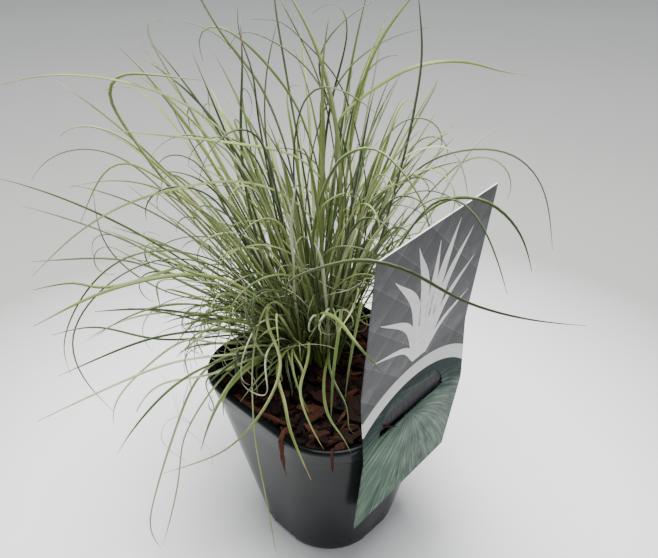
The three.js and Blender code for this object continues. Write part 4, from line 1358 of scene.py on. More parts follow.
    def _tuft(self) -> Pile:
        """Gathers the raised white strokes of the tuft on the slate ground.

        Returns:
            The strokes as one mesh.
        """
        pile = Pile("label_white_strokes")
        front = self.thickness / 2
        for width, places in self._strokes():
            path = smooth_path(np.array([(u, v, 0.0) for u, v in places]), 22)
            sides, _ = frames(path, np.array([1.0, 0.0, 0.0]))
            rings = []
            for k, (point, side) in enumerate(zip(path, sides)):
                share = k / (len(path) - 1)
                half = width / 2 * (0.35 + 1.3 * share * (1 - share) * 2) * (1 - share ** 4) + 0.12
                corners = [(point[0] - side[0] * half, point[1] - side[1] * half),
                           (point[0] + side[0] * half, point[1] + side[1] * half)]
                low = [self.on_sheet(u, v, front - 0.05) for u, v in corners]
                high = [self.on_sheet(u, v, front + 0.06) for u, v in corners[::-1]]
                rings.append(low + high)
            pile.add_rings(np.array(rings))
        return pile

    def build(self, printed: Material, white: Material) -> None:
        """Makes the card, its tongue and its white strokes.

        Args:
            printed: The finish of the printed face, the cut edges and the tongue.
            white: The finish of the top edge, the back and the strokes.
        """
        for piece, folded in ((self._sheet(), False), (self._tongue(), True)):
            put_on(piece, printed, white)
            self._measure(piece, folded)
            carry(piece, "label", [] if folded else ["care_label"])
        strokes = self._tuft().build([white], smooth=False)
        carry(strokes, "label")


# Leaves.


@dataclass(frozen=True)
class Clump:
    """One of the plant's six clumps: where it stands and how its leaves go.

    Attributes:
        name: The part of the plant that it makes.
        place: Its place in the ring of five, or None for the middle one.
        heading: The way its leaves go, in degrees, or None for all round.
        fan: How widely they spread, in degrees.
        lean: The least and the greatest lean from upright, in degrees.
        length: The shortest and the longest leaf.
        leaves: How many free leaves it grows.
        fine: How many thin leaves are tried between them.
        seed: The seed of its draws.
    """

    name: str
    place: int | None
    heading: float | None
    fan: float
    lean: tuple[float, float]
    length: tuple[float, float]
    leaves: int
    fine: int
    seed: int

    CROWN = (11.0, 25.0)
    RING = 15.0
    FIRST_BEARING = -27.7

    def from_crown(self) -> tuple[float, float]:
        """Measures how far its middle stands from the middle of the crown.

        Returns:
            The way along X and along Y.
        """
        if self.place is None:
            return (0.0, 0.0)
        bearing = math.radians(self.FIRST_BEARING + 72 * self.place)
        return (self.RING * math.cos(bearing), self.RING * math.sin(bearing))

    def centre(self) -> tuple[float, float]:
        """Returns where its middle stands in the pot."""
        dx, dy = self.from_crown()
        return (self.CROWN[0] + dx, self.CROWN[1] + dy)


CLUMPS = (
    Clump("centre", None, None, 360, (1, 18), (180, 240), 44, 40, 100),
    Clump("right", 0, -15, 150, (1, 20), (140, 228), 32, 42, 300),
    Clump("back", 1, 46, 150, (3, 60), (140, 236), 42, 46, 500),
    Clump("left", 2, 122, 120, (5, 74), (140, 248), 46, 58, 700),
    Clump("front", 3, 166, 110, (12, 72), (100, 205), 31, 78, 900),
    Clump("side", 4, 262, 170, (1, 17), (110, 205), 28, 46, 1100),
)

# Leaves that stand out by themselves: clump, width, and places as across, deep
# and up from the middle of the pot, looking at its corner beside the label.
GUIDED_LEAVES = (
    ("front", 1.5, "-18,-8,150 -27,-34,200 -14,-58,229 10,-93,254 22,-97,253 "
     "38,-93,243 64,-80,223 97,-70,206 130,-60,195"),
    ("centre", 2.4, "8,16,196 6,10,262 1,8,291 -6,9,315 -16,9,334 -25,10,348"),
    ("centre", 2.4, "-4,20,175 -4,11,234 -3,5,279 -4,2,306 0,0,330"),
    ("left", 2.4, "-21,11,180 -36,6,240 -46,-3,268 -61,-6,284 "
     "-75,-13,296 -100,-14,305 -130,-20,309 -152,-20,303"),
    ("left", 2.2, "-26,16,175 -47,16,217 -66,12,268 -81,14,299 -88,12,315 -91,16,322 -88,15,327 -83,20,324"),
    ("left", 2.2, "-42,16,170 -67,11,207 -87,2,242 -104,-1,276 "
     "-109,-8,295 -102,-9,306 -85,-15,307 -60,-15,304"),
    ("centre", 2.0, "10,26,191 3,15,236 -10,6,254 -22,-2,263 -45,-9,273 -70,-15,278 -105,-20,280"),
    ("left", 1.4, "-47,16,186 -74,3,226 -91,-7,249 -105,-14,256 -126,-20,254"),
    ("left", 1.5, "-52,21,196 -76,10,230 -92,-4,253 -102,-12,263 -110,-19,263 -117,-30,253 -123,-35,240"),
    ("centre", 2.4, "10,16,181 0,6,217 -20,2,237 -46,-6,249 "
     "-75,-13,252 -110,-19,243 -140,-20,222 -158,-25,205"),
    ("left", 2.4, "-28,6,154 -49,-11,189 -66,-26,205 -91,-38,211 -120,-50,206 -147,-60,195"),
    ("left", 2.0, "-34,6,151 -57,-8,184 -73,-19,204 -87,-32,211 -104,-44,207 -122,-50,207 -138,-58,213"),
    ("left", 2.2, "-40,21,147 -69,16,179 -98,21,199 -130,25,207"),
    ("left", 1.8, "-42,16,144 -68,3,175 -95,-7,198 -122,-18,210 -152,-25,215"),
    ("left", 1.4, "-46,14,160 -86,8,168 -114,8,180 -130,10,202 -132,10,236"),
    ("left", 1.4, "-40,11,170 -70,0,200 -98,-12,208 -128,-22,193 -147,-31,167 -140,-40,143 -124,-45,125"),
    ("left", 1.3, "-40,16,175 -76,4,203 -110,-8,210 -139,-16,191 -154,-25,158 -153,-30,136"),
    ("front", 1.4, "-28,6,130 -49,-11,156 -71,-26,170 -98,-38,173 -125,-50,168 -145,-60,162"),
    ("left", 1.4, "-29,6,133 -57,-10,149 -95,-22,164 -124,-32,175 -152,-40,187"),
    ("front", 1.4, "-26,-4,138 -51,-27,154 -81,-47,162 -112,-62,159 -148,-75,150"),
    ("front", 1.6, "-37,-4,140 -62,-21,158 -83,-34,164 -101,-45,157 -111,-56,145 -118,-65,130"),
    ("front", 1.6, "-26,-4,135 -47,-26,146 -74,-44,150 -96,-56,149 -102,-61,144 -101,-62,138"),
    ("front", 2.4, "-28,-4,143 -52,-15,149 -73,-24,140 -96,-32,110 -109,-39,69 -112,-45,22 -105,-50,3"),
    ("front", 1.8, "-26,-4,135 -49,-18,145 -72,-31,131 -92,-40,103 -101,-48,74 -103,-55,26"),
    ("front", 2.2, "-18,-1,148 -31,-19,190 -38,-33,181 -42,-46,163 "
     "-42,-58,144 -40,-69,126 -36,-80,104 -30,-90,60"),
    ("front", 1.8, "-21,1,143 -30,-17,185 -31,-33,176 -27,-46,162 "
     "-31,-58,148 -42,-71,137 -63,-80,124 -84,-82,114"),
    ("front", 1.6, "-7,-6,150 -11,-34,144 -14,-57,141 -10,-70,135 -6,-72,127"),
    ("front", 1.8, "-17,-9,149 -26,-37,151 -25,-57,144 -21,-72,135 -16,-85,113"),
    ("front", 1.4, "-17,1,143 -24,-26,156 -19,-44,146 -9,-52,129"),
    ("side", 1.6, "3,-6,136 -8,-32,141 -5,-57,139 5,-74,135 13,-80,129"),
    ("side", 1.8, "6,-2,154 8,-22,187 6,-39,178 2,-52,158 0,-60,129"),
    ("side", 1.8, "14,2,149 20,-17,189 15,-32,178 11,-44,158 9,-50,134"),
    ("front", 2.0, "-12,-3,148 -9,-34,194 4,-59,205 15,-88,209 34,-91,187"),
    ("centre", 1.5, "13,24,186 8,23,265 -6,19,299 -26,16,316 -46,17,323 -51,20,311"),
    ("side", 1.4, "4,-7,150 0,-37,145 4,-57,143 9,-74,138 14,-81,128"),
    ("centre", 2.4, "-5,16,170 -2,16,258 9,12,279 27,14,294 50,17,304 72,21,306 92,22,300 108,25,291"),
    ("centre", 2.4, "15,14,175 10,9,262 15,8,287 25,8,315 38,10,335 52,12,350"),
    ("right", 2.2, "21,16,170 29,10,210 41,11,260 46,8,286 49,8,308 47,10,325 42,10,340"),
    ("right", 1.6, "18,18,181 28,13,216 39,13,240 56,13,255 78,13,263 "
     "100,13,259 120,16,240 130,18,218 133,20,196"),
    ("right", 1.5, "18,18,186 21,16,220 31,12,246 46,12,261 62,14,262 76,15,250 81,16,236 79,20,223"),
    ("side", 1.8, "20,5,174 34,-13,213 46,-31,242 57,-46,259 71,-53,261 84,-54,251 94,-52,237 99,-50,220"),
    ("centre", 2.0, "-9,11,170 -9,-1,233 -4,-13,259 5,-25,274 18,-37,279 31,-48,272 43,-56,256 51,-60,238"),
    ("right", 1.5, "23,21,160 43,14,190 59,11,223 71,12,252 83,14,269 95,20,270"),
    ("side", 1.6, "23,0,168 38,-24,222 49,-51,263 62,-63,263 77,-60,240 88,-52,208"),
    ("left", 2.4, "-33,16,160 -44,9,213 -47,4,251 -45,2,285 -42,0,308 -42,0,328"),
    ("centre", 2.0, "6,22,181 -6,16,251 -15,12,282 -26,12,299 -41,13,316 -56,15,325 -67,17,319 -65,20,305"),
    ("centre", 2.0, "-5,18,175 -14,14,233 -24,12,268 -36,12,298 -47,13,318 -58,15,335 -66,18,347"),
    ("back", 2.0, "8,32,181 5,31,244 -2,34,285 -13,39,309 -24,44,328 -31,50,341"),
    ("back", 2.4, "-7,31,165 -13,25,236 -20,21,282 -24,20,310 -27,20,332 -27,21,346"),
    ("back", 2.0, "-19,32,155 -33,27,227 -36,24,267 -34,26,297 -27,30,321"),
    ("left", 1.5, "-28,21,170 -36,15,236 -39,12,277 -36,13,307 -38,13,322 -42,15,331"),
    ("back", 1.5, "23,31,181 22,26,234 15,23,275 4,21,300 -10,20,317 -23,20,325 -37,21,326"),
    ("back", 1.5, "-4,32,181 -4,30,259 3,31,290 10,32,313 9,34,328 0,36,332 -9,40,325"),
    ("back", 1.6, "-16,32,186 -13,27,246 -2,25,283 12,26,304 31,27,316 52,30,320"),
    ("back", 1.5, "21,30,181 13,22,250 -6,31,284 -9,35,306 4,40,321 24,45,330 38,50,335"),
    ("back", 1.8, "-17,28,186 -21,15,254 -16,5,287 -5,0,299 10,-5,296 25,-9,285"),
)


@dataclass
class Leaf:
    """One leaf: its path, its width and the clump that it grows from."""

    path: Array
    width: float
    clump: Clump


@dataclass(frozen=True)
class Habit:
    """How one leaf grows: angles in degrees, lengths in millimetres.

    Attributes:
        lean: How far it leans at its foot.
        heading: The way it goes.
        length: Its length.
        droop: How much further it leans at its tip.
        power: How late it droops.
        sweep: How far it swings aside.
        curl: How far its end curls down.
        side_curl: How far its end curls aside.
        curl_start: Where the curl begins, as a share of its length.
        width: Its width.
    """

    lean: float
    heading: float
    length: float
    droop: float
    power: float
    sweep: float
    curl: float
    side_curl: float
    curl_start: float
    width: float


@dataclass
class LeafSpace:
    """Every sample of every leaf so far, for telling whether a new leaf is clear.

    Leaves of one clump keep the room called sister and may mingle at their feet,
    and leaves of different clumps keep the room called spare.
    """

    spare: float = 0.9
    sister: float = 0.2
    mingled: float = 26.0
    reach: float = 4.0
    points: Array = field(default_factory=lambda: np.empty((0, 3)))
    travelled: Array = field(default_factory=lambda: np.empty(0))
    widths: Array = field(default_factory=lambda: np.empty(0))
    clumps: Array = field(default_factory=lambda: np.empty(0, int))

    def is_free(self, points: Array, travelled: Array, width: float, clump: int) -> bool:
        """Tells whether a new leaf's samples are clear of all the others.

        Args:
            points: The samples.
            travelled: How far along the leaf each one lies.
            width: The leaf's width.
            clump: The number of its clump.

        Returns:
            Whether nothing is in its way.
        """
        if not len(self.points):
            return True
        low, high = points.min(0) - self.reach, points.max(0) + self.reach
        near = ((self.points >= low) & (self.points <= high)).all(1)
        own = self.clumps[near] == clump
        room = (width + self.widths[near]) / 2 + np.where(own, self.sister, self.spare)
        apart = ((points[:, None, :] - self.points[near][None, :, :]) ** 2).sum(2)
        close = apart < room[None, :] ** 2
        mixed = (travelled[:, None] < self.mingled) | (self.travelled[near][None, :] < self.mingled)
        return not (close & ~(own[None, :] & mixed)).any()

    def fill(self, points: Array, travelled: Array, width: float, clump: int) -> None:
        """Adds a leaf's samples.

        Args:
            points: The samples.
            travelled: How far along the leaf each one lies.
            width: The leaf's width.
            clump: The number of its clump.
        """
        self.points = np.vstack([self.points, points])
        self.travelled = np.append(self.travelled, travelled)
        self.widths = np.append(self.widths, np.full(len(points), width))
        self.clumps = np.append(self.clumps, np.full(len(points), clump))


@dataclass
class Tuft:
    """All the leaves of the plant, grown by the same rules as its solids.

    The lean and the turn are in degrees. The routes of the guided leaves have
    their own axes, which look_turn turns to the pot's.
    """

    pot: Pot
    label: CareLabel
    steps: int = 48
    tolerance: float = 1.8
    spacing: float = 2.5
    root_spread: float = 4.7
    root_z: float = 115.0
    core_profile: tuple[tuple[float, float], ...] = (
        (6.9, 100), (7.2, 111), (7.0, 121), (5.7, 130), (3.3, 137))
    core_clear: float = 1.6
    look_turn: float = -45.7
    tries: int = 14
    route_tries: int = 40
    route_shift: float = 0.3
    mulch_clear: float = 121.6
    rim_clear: float = 1.9
    ground_clear: float = 1.4
    label_clear: float = 2.1
    tongue_room: float = 4.0
    tongue_top: float = 154.0
    lowest_lean: float = 75.0
    low_shorter: float = 0.3
    leaves: list[Leaf] = field(default_factory=list)

    def _core_radius(self, z: Array) -> Array:
        """Finds the radius of a clump's core.

        Args:
            z: The heights.

        Returns:
            The radius at each one.
        """
        top_radius, top = self.core_profile[-1]
        radius = np.where(z < top + self.core_clear, top_radius, -np.inf)
        pairs = list(zip(self.core_profile, self.core_profile[1:]))
        for (r0, z0), (r1, z1) in reversed(pairs):
            radius = np.where(z <= z1, r0 + (r1 - r0) * (z - z0) / (z1 - z0), radius)
        return radius

    def _near_pot(self, points: Array) -> Array:
        """Tells which points would touch the rim, the wall or the bark.

        Args:
            points: The points.

        Returns:
            True or false for each point.
        """
        pot = self.pot
        x, y, z = points.T
        out = outside_square(x, y, pot.rim_half, pot.rim_corner)
        inside = out < -(pot.rim_half - pot.lip_inside_half) - self.rim_clear
        at_wall = outside_square(x, y, pot.wall_half(z), pot.base_corner) < self.rim_clear
        beside = np.where(z > pot.collar_foot - 8, out < self.rim_clear, at_wall)
        return (z < pot.height + self.rim_clear) & np.where(inside, z < self.mulch_clear, beside)

    def _near_label(self, points: Array) -> Array:
        """Tells which points would touch the label or its tongue.

        Args:
            points: The points.

        Returns:
            True or false for each point.
        """
        label, clear = self.label, self.label_clear
        x, y, z = points.T
        across, along = label.in_sheet(x, z)
        off = (label.off + np.maximum(0, along - label.high_bend) * label.lean
               - np.maximum(0, label.low_bend - along) * label.tuck)
        over = ((across > label.left - clear) & (across < label.right + clear)
                & (along > label.bottom - clear) & (along < label.top + clear))
        at_sheet = over & (np.abs(-y - off) < clear)
        beside = np.abs(x - label.centre) < label.tongue_half + self.tongue_room
        at_tongue = (-y > label.tongue_off - self.tongue_room) & (-y < label.off)
        return at_sheet | (beside & at_tongue & (z < self.tongue_top + clear))

    def blocked(self, points: Array, clump: Clump) -> bool:
        """Tells whether any point would touch anything but other leaves.

        Args:
            points: The points of a leaf or a thread.
            clump: The clump that it grows from, whose own core is no hindrance.

        Returns:
            Whether something is in the way.
        """
        x, y, z = points.T
        core = self._core_radius(z)
        cx, cy = clump.centre()
        free = np.hypot(x - cx, y - cy) < core
        near = z < self.ground_clear
        for other in CLUMPS:
            if other is not clump:
                ox, oy = other.centre()
                near = near | (np.hypot(x - ox, y - oy) < core + self.core_clear)
        near = near | self._near_pot(points) | self._near_label(points)
        return bool((near & ~free).any())

    def _thin(self, path: Array) -> list[int]:
        """Picks few places that keep the path within the tolerance.

        Args:
            path: The points of the path.

        Returns:
            The numbers of the points to keep, in order.
        """
        keep = {0, len(path) - 1}

        def split(first: int, last: int) -> None:
            """Keeps the farthest point between two kept ones, and goes on to both sides of it.

            Args:
                first: The number of one kept point.
                last: The number of the next one.
            """
            if last - first < 2:
                return
            chord = path[last] - path[first]
            inner = path[first + 1:last]
            share = np.clip(((inner - path[first]) @ chord) / float(chord @ chord), 0, 1)
            away = np.linalg.norm(inner - path[first] - share[:, None] * chord, axis=1)
            worst = int(away.argmax())
            if away[worst] > self.tolerance:
                place = first + 1 + worst
                keep.add(place)
                split(first, place)
                split(place, last)

        split(0, len(path) - 1)
        return sorted(keep)

    def _samples(self, path: Array) -> tuple[Array, Array]:
        """Samples the thinned path.

        Args:
            path: The points of the path.

        Returns:
            The samples, and how far along each one lies.
        """
        points, travelled, gone = [], [], 0.0
        stations = self._thin(path)
        for first, last in zip(stations, stations[1:]):
            length = float(np.linalg.norm(path[last] - path[first]))
            steps = max(1, math.ceil(length / self.spacing))
            for s in range(1, steps + 1):
                points.append(path[first] + (path[last] - path[first]) * (s / steps))
                travelled.append(gone + length * s / steps)
            gone += length
        return np.array(points), np.array(travelled)

    def _settle(self, path: Array, width: float, clump: Clump, space: LeafSpace) -> Leaf | None:
        """Takes a path if it is clear of everything so far.

        Args:
            path: The points of the path.
            width: The leaf's width.
            clump: The clump that it grows from.
            space: The leaves so far.

        Returns:
            The leaf, or None where something is in its way.
        """
        if self.blocked(path, clump):
            return None
        points, travelled = self._samples(path)
        number = CLUMPS.index(clump)
        if self.blocked(points, clump) or not space.is_free(points, travelled, width, number):
            return None
        space.fill(points, travelled, width, number)
        return Leaf(path, width, clump)

    def _guided_path(self, points: Array) -> Array:
        """Runs a smooth curve near a few points, in equal steps.

        Args:
            points: The points, of which it meets the first and the last.

        Returns:
            The points of the curve.
        """
        rows = np.vstack([2 * points[0] - points[1], points, 2 * points[-1] - points[-2]])
        fine = []
        for span in range(len(rows) - 3):
            for s in range(16):
                t = s / 16
                weights = np.array([(1 - t) ** 3, 3 * t ** 3 - 6 * t ** 2 + 4,
                                    -3 * t ** 3 + 3 * t ** 2 + 3 * t + 1, t ** 3]) / 6
                fine.append(weights @ rows[span:span + 4])
        fine.append(points[-1])
        curve = np.array(fine)
        lengths = np.append(0, np.cumsum(np.linalg.norm(np.diff(curve, axis=0), axis=1)))
        places = np.linspace(0, lengths[-1], self.steps + 1)
        return np.stack([np.interp(places, lengths, curve[:, k]) for k in range(3)], 1)

    def _grown_path(self, root: Array, habit: Habit) -> Array:
        """Grows the path of a leaf that leans, droops and may curl at its tip.

        Args:
            root: Where it starts.
            habit: How it grows.

        Returns:
            The points of the path.
        """
        s = (np.arange(self.steps) + 0.5) / self.steps
        curled = np.maximum(0, (s - habit.curl_start) / (1 - habit.curl_start)) ** 1.4
        angle = np.radians(habit.lean + habit.droop * s ** habit.power + habit.curl * curled)
        yaw = np.radians(habit.heading + habit.sweep * s * s + habit.side_curl * curled)
        flat = np.sin(angle)
        ways = np.stack([flat * np.cos(yaw), flat * np.sin(yaw), np.cos(angle)], 1)
        moves = ways * habit.length / self.steps
        return np.vstack([root, root + np.cumsum(moves, axis=0)])

    def _habit(self, draws: Draws, clump: Clump, outward: float) -> Habit:
        """Draws the habit of one leaf.

        Args:
            draws: The stream that it is drawn from.
            clump: The clump that the leaf grows from.
            outward: How far out in the clump it starts, from 0 to 1.

        Returns:
            The habit.
        """
        share = 0.55 * draws.next() + 0.45 * outward
        lean = between(*clump.lean, max(0.0, share) ** 1.2)
        way = draws.next()
        heading = way * 360 if clump.heading is None else clump.heading + (way - 0.5) * clump.fan
        length = draws.between(*clump.length) * (1 - self.low_shorter * lean / self.lowest_lean)
        droop = draws.between(14, 62) * (0.55 + lean / self.lowest_lean)
        power = draws.between(1.5, 2.6)
        sweep = (draws.next() - 0.5) * 50
        curls = 1 if draws.next() < 0.42 else 0
        curl = draws.between(40, 190) * curls
        side_curl = (draws.next() - 0.5) * 160 * curls
        start = draws.between(0.66, 0.84)
        width = draws.between(1.5, 2.3)
        return Habit(lean, heading, length, droop, power, sweep, curl, side_curl, start, width)

    def _guided(self, number: int, space: LeafSpace) -> Leaf | None:
        """Settles one guided leaf, which moves a little where others are in its way.

        Args:
            number: Its place in the list.
            space: The leaves so far.

        Returns:
            The leaf, or None if it found no place.
        """
        name, width, places = GUIDED_LEAVES[number]
        clump = next(c for c in CLUMPS if c.name == name)
        cx, cy = clump.centre()
        turn = math.radians(self.look_turn)
        rows = []
        for place in places.split():
            across, deep, up = (float(v) for v in place.split(","))
            rows.append((across * math.cos(turn) - deep * math.sin(turn),
                         across * math.sin(turn) + deep * math.cos(turn), up))
        toward = np.array([rows[0][0] - cx, rows[0][1] - cy])
        toward = toward * min(0.35, 4.5 / max(1.0, float(np.linalg.norm(toward))))
        for attempt in range(self.route_tries):
            draws = Draws(20000 + number * 50 + attempt)
            reach = 2 * self.route_shift * attempt

            def shift() -> float:
                """Returns the next small move."""
                return (draws.next() - 0.5) * reach

            root = (cx + toward[0] + shift() * 0.3, cy + toward[1] + shift() * 0.3, self.root_z)
            moved = [(x + shift(), y + shift(), z + shift() * 0.6) for x, y, z in rows]
            leaf = self._settle(self._guided_path(np.array([root, *moved])), width, clump, space)
            if leaf:
                return leaf
        return None

    def _root(self, draws: Draws, clump: Clump) -> tuple[Array, float]:
        """Draws where a leaf starts in its clump.

        Args:
            draws: The stream that it is drawn from.
            clump: The clump.

        Returns:
            The way from the clump's middle, and how far out in the plant that is.
        """
        angle = draws.next() * 2 * math.pi
        reach = self.root_spread * math.sqrt(draws.next())
        offset = np.array([reach * math.cos(angle), reach * math.sin(angle)])
        if clump.place is None:
            return offset, reach / self.root_spread
        outward = float(offset @ np.array(clump.from_crown())) / (2 * Clump.RING * self.root_spread)
        return offset, 0.5 + outward

    def _grown(self, clump: Clump, number: int, space: LeafSpace) -> Leaf | None:
        """Settles one free leaf of a clump.

        Args:
            clump: The clump.
            number: The leaf's number in it.
            space: The leaves so far.

        Returns:
            The leaf, or None if it found no place.
        """
        cx, cy = clump.centre()
        for attempt in range(self.tries):
            draws = Draws(clump.seed * 1000 + number * 20 + attempt)
            offset, outward = self._root(draws, clump)
            habit = self._habit(draws, clump, outward)
            root = np.array([cx + offset[0], cy + offset[1], self.root_z + habit.lean * 0.17])
            leaf = self._settle(self._grown_path(root, habit), habit.width, clump, space)
            if leaf:
                return leaf
        return None

    def grow(self) -> None:
        """Grows the guided leaves, and then the free leaves of all the clumps in turn."""
        space = LeafSpace()
        found = [self._guided(number, space) for number in range(len(GUIDED_LEAVES))]
        for number in range(max(clump.leaves for clump in CLUMPS)):
            found += [self._grown(clump, number, space) for clump in CLUMPS if number < clump.leaves]
        self.leaves = [leaf for leaf in found if leaf]
        LOG.info("leaves grown: %d", len(self.leaves))

    def fine_leaves(self, clump: Clump) -> list[Leaf]:
        """Grows thin leaves that fill a clump between its main ones.

        Args:
            clump: The clump.

        Returns:
            The thin leaves that found a place.
        """
        cx, cy = clump.centre()
        found = []
        for number in range(clump.fine):
            draws = Draws(clump.seed * 1000 + 500000 + number)
            offset, outward = self._root(draws, clump)
            habit = self._habit(draws, clump, outward)
            root = np.array([cx + offset[0] * 1.2, cy + offset[1] * 1.2, self.root_z + habit.lean * 0.17])
            curls = 1 if draws.next() < 0.75 else 0
            loose = replace(habit, length=habit.length * draws.between(0.4, 0.9),
                            droop=draws.between(20, 120), sweep=draws.sway(120),
                            curl=draws.between(60, 280) * curls,
                            side_curl=draws.sway(110) * curls, curl_start=draws.between(0.5, 0.75),
                            power=draws.between(1.1, 2.2))
            path = self._grown_path(root, loose)
            if not self.blocked(path, clump):
                found.append(Leaf(path, draws.between(0.8, 1.7), clump))
        return found


@dataclass
class Foliage:
    """Builds the clumps' blades, shoots and threads from the grown leaves."""

    tuft: Tuft
    shoots: int = 26
    shoot_spread: float = 6.0
    shoot_foot: float = 101.0
    golden_turn: float = 2.39996
    threads: int = 74
    thread_steps: int = 34
    thread_half: float = 0.24
    blade_thick: float = 0.45
    fine_thick: float = 0.25
    least_width: float = 0.3

    def _width(self, share: Array, width: float) -> Array:
        """Tapers a blade to its foot and its tip.

        Args:
            share: Places along its length, from 0 to 1.
            width: Its full width.

        Returns:
            The width at each place.
        """
        base = 0.72 + 0.28 * np.minimum(1, share / 0.12)
        taper = 1 - 0.88 * (np.maximum(0, share - 0.66) / 0.34) ** 2
        return np.maximum(self.least_width, width * base * taper)

    def _blade(self, pile: Pile, leaf: Leaf, seed: int, thick: float) -> None:
        """Adds one keeled blade.

        Args:
            pile: The mesh that it joins.
            leaf: Its path and width.
            seed: The seed of its twist, wave and colour.
            thick: Its thickness over the keel.
        """
        draws = Draws(seed)
        count = len(leaf.path)
        share = np.linspace(0, 1, count)
        flat = leaf.path[-1] - leaf.path[0]
        side = np.array([-flat[1], flat[0] + 1e-6, 0.0])
        sides, faces = frames(leaf.path, side / np.linalg.norm(side))
        length = float(np.linalg.norm(np.diff(leaf.path, axis=0), axis=1).sum())
        wave = np.sin(share * length / draws.between(9, 17) + draws.next() * 6.3) * draws.between(0.05, 0.4)
        path = leaf.path + sides * (wave * np.minimum(1, share * 4))[:, None]
        twist = (math.radians(draws.sway(75)) * share ** 1.3
                 + math.radians(draws.sway(14)) * np.sin(share * 9))
        turned = sides * np.cos(twist)[:, None] + faces * np.sin(twist)[:, None]
        up = faces * np.cos(twist)[:, None] - sides * np.sin(twist)[:, None]
        half = (self._width(share, leaf.width) / 2)[:, None]
        fold = half * draws.between(0.18, 0.42)
        low = np.minimum(thick, half * 0.9)
        rings = np.stack([path + turned * half + up * fold, path - up * fold * 0.3,
                          path - turned * half + up * fold, path - up * (fold * 0.3 + low)], 1)
        tint = min(1.0, max(0.0, 0.08 + 0.84 * draws.next() ** 1.15))
        dry = 0.0 if draws.next() < 0.68 else draws.between(0.02, 0.12)
        edge = np.tile([1.0, 0.0, 1.0, 0.15], count)
        pile.add_rings(rings, tint=tint, along=np.repeat(share, 4), edge=edge, dry=dry)

    def _shoot(self, pile: Pile, clump: Clump, number: int) -> None:
        """Adds one sheathed shoot foot of a clump.

        Args:
            pile: The mesh that it joins.
            clump: The clump.
            number: The shoot's number in it.
        """
        draws = Draws(clump.seed * 777 + number)
        cx, cy = clump.centre()
        angle = number * self.golden_turn
        reach = self.shoot_spread * math.sqrt((number + 0.5) / self.shoots)
        root = np.array([cx + reach * math.cos(angle), cy + reach * math.sin(angle), self.shoot_foot])
        lean = 0.05 + 0.028 * reach + draws.sway(0.05)
        height = draws.between(32, 47) - 1.3 * reach
        radius = draws.between(0.85, 1.3)
        levels, around = 9, 8
        rings = np.empty((levels, around, 3))
        for level in range(levels):
            share = level / (levels - 1)
            rise = height * share
            out = lean * rise * (0.35 + 0.65 * share)
            middle = root + np.array([math.cos(angle) * out, math.sin(angle) * out, rise])
            size = radius * (1 - 0.62 * share ** 1.6)
            for k in range(around):
                bearing = 2 * math.pi * k / around
                ridge = 1 + 0.12 * math.cos(3 * bearing)
                way = np.array([math.cos(bearing), math.sin(bearing), 0])
                rings[level, k] = middle + way * size * ridge
        along = np.repeat(np.linspace(0.0, 0.16, levels), around)
        edge = np.tile([0.2, 0.7] * 4, levels)
        pile.add_rings(rings, tint=draws.between(0.12, 0.6), along=along, edge=edge, dry=0.0)

    def _thread(self, pile: Pile, number: int) -> None:
        """Adds one thin curly dead thread that hangs among the leaves.

        Args:
            pile: The mesh that it joins.
            number: The thread's number.
        """
        draws = Draws(91000 + number)
        host = self.tuft.leaves[int(draws.next() * len(self.tuft.leaves))]
        start = host.path[int(draws.between(12, 30))]
        heading, lean = draws.next() * 2 * math.pi, draws.between(0.5, 1.9)
        step = draws.between(0.9, 1.7)
        turn, tip = draws.sway(0.24), draws.sway(0.14)
        path = [start]
        for _ in range(self.thread_steps):
            heading += turn * (1 + draws.sway(0.8))
            lean += tip * 0.6 + draws.sway(0.06)
            flat = math.sin(lean)
            way = np.array([flat * math.cos(heading), flat * math.sin(heading), math.cos(lean)])
            path.append(path[-1] + step * way)
        points = np.array(path)
        if self.tuft.blocked(points[4:], host.clump):
            return
        sides, faces = frames(points, np.array([0.1, 1.0, 0.3]))
        half = self.thread_half * (1 - 0.6 * np.linspace(0, 1, len(points)))[:, None]
        pile.add_rings(np.stack([points + sides * half, points + faces * half, points - sides * half], 1))

    def build(self, skins: dict[str, Material], thread: Material) -> None:
        """Makes every clump's piece, the fine leaves and the threads.

        Args:
            skins: The leaf finish of each clump.
            thread: The finish of the dead threads.
        """
        for clump in CLUMPS:
            pile = Pile(f"foliage_{clump.name}")
            own = [leaf for leaf in self.tuft.leaves if leaf.clump is clump]
            for number, leaf in enumerate(own):
                self._blade(pile, leaf, clump.seed * 31 + number, self.blade_thick)
            for number in range(self.shoots):
                self._shoot(pile, clump, number)
            carry(pile.build([skins[clump.name]]), "leaf", [f"leaves_{clump.name}"])
            fine = Pile(f"fine_leaves_{clump.name}")
            for number, leaf in enumerate(self.tuft.fine_leaves(clump)):
                self._blade(fine, leaf, clump.seed * 53 + 4000 + number, self.fine_thick)
            carry(fine.build([skins[clump.name]]), "leaf")
        dead = Pile("dry_threads")
        for number in range(self.threads):
            self._thread(dead, number)
        carry(dead.build([thread]), "leaf")


# Studio.


@dataclass(frozen=True)
class Lamp:
    """A soft square lamp: its size and place in metres, and its power in watts."""

    name: str
    size: float
    power: float
    place: Triple


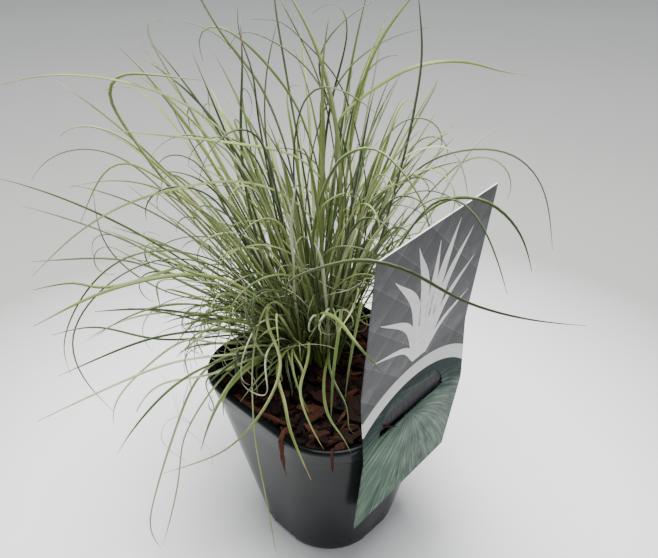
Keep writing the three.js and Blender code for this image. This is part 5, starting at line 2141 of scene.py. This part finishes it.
@dataclass
class Studio:
    """Pale floor with painted light, soft lights and the camera.

    Angles are in degrees, and the floor and the lamps are in metres.
    """

    camera_at: Triple = (-229.2, -223.6, 379.3)
    pitch_down: float = 31.11
    look_turn: float = -45.7
    focal_pixels: float = 640.0
    frame_width: float = 658.0
    sensor: float = 36.0
    floor_rings: tuple[float, ...] = (0.4, 1.0, 4.0)
    floor_sides: int = 48
    room: Colour = (0.93, 0.96, 1.0, 1.0)
    room_light: float = 0.45
    aim: float = 0.15
    lamps: tuple[Lamp, ...] = (
        Lamp("overhead_softbox", 0.7, 36.0, (0.05, 0.1, 1.25)),
        Lamp("front_fill", 1.2, 4.0, (-1.3, -1.0, 0.9)),
    )

    def _floor(self, finish: Material) -> None:
        """Makes the round floor.

        Args:
            finish: The paper.
        """
        mesh = bmesh.new()
        centre = mesh.verts.new((0.0, 0.0, 0.0))
        bearings = np.linspace(0, 2 * math.pi, self.floor_sides, endpoint=False)
        rims = [[mesh.verts.new((radius * math.cos(a), radius * math.sin(a), 0.0)) for a in bearings]
                for radius in self.floor_rings]
        for k in range(self.floor_sides):
            after = (k + 1) % self.floor_sides
            mesh.faces.new((centre, rims[0][k], rims[0][after]))
            for low, high in zip(rims, rims[1:]):
                mesh.faces.new((low[k], high[k], high[after], low[after]))
        floor = linked("studio_floor", as_mesh("studio_floor", mesh))
        put_on(floor, finish)

    def _light(self, lamp: Lamp) -> None:
        """Adds one lamp, aimed at the plant.

        Args:
            lamp: The lamp.
        """
        light = bpy.data.lights.new(lamp.name, "AREA")
        light.size = lamp.size
        light.energy = lamp.power
        made = linked(lamp.name, light)
        made.location = lamp.place
        aim = Vector((0, 0, self.aim)) - Vector(lamp.place)
        made.rotation_euler = aim.to_track_quat("-Z", "Y").to_euler()

    def _world(self) -> None:
        """Makes the even light from all round."""
        world = bpy.data.worlds.new("soft_room")
        world.use_nodes = True
        background = world.node_tree.nodes["Background"]
        background.inputs["Color"].default_value = self.room
        background.inputs["Strength"].default_value = self.room_light
        bpy.context.scene.world = world

    def _camera(self) -> None:
        """Sets up the camera where the photograph was taken from."""
        data = bpy.data.cameras.new("photograph_camera")
        data.sensor_width = self.sensor
        data.lens = self.focal_pixels / self.frame_width * self.sensor
        data.clip_start = 0.01
        camera = linked("photograph_camera", data)
        camera.location = [v * MM for v in self.camera_at]
        camera.rotation_euler = (math.radians(90 - self.pitch_down), 0.0, math.radians(self.look_turn))
        bpy.context.scene.camera = camera

    def build(self, finish: Material) -> None:
        """Makes the floor, the lights and the camera.

        Args:
            finish: The paper of the floor.
        """
        self._floor(finish)
        self._world()
        for lamp in self.lamps:
            self._light(lamp)
        self._camera()
        LOG.info("studio: floor, %d lamps and the camera", len(self.lamps))


def main() -> None:
    """Builds every sub-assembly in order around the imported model."""
    logging.basicConfig(level=logging.INFO, format="%(name)s: %(message)s")
    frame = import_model()
    pot = Pot()
    pot.build(PotPlastic().make())
    put_on(frame["nodes"]["root_ball"], Compost().make())
    LOG.info("root_ball: keeps its solid")
    Mulch(pot).build(Bark().make())
    label = CareLabel()
    label.build(LabelPrint().make(), CardWhite().make())
    tuft = Tuft(pot, label)
    tuft.grow()
    skins = {clump.name: LeafSkin(f"sedge_leaf_{clump.name}").make() for clump in CLUMPS}
    Foliage(tuft).build(skins, DryThread().make())
    Studio().build(StudioPaper().make())


if __name__ == "__main__":
    main()
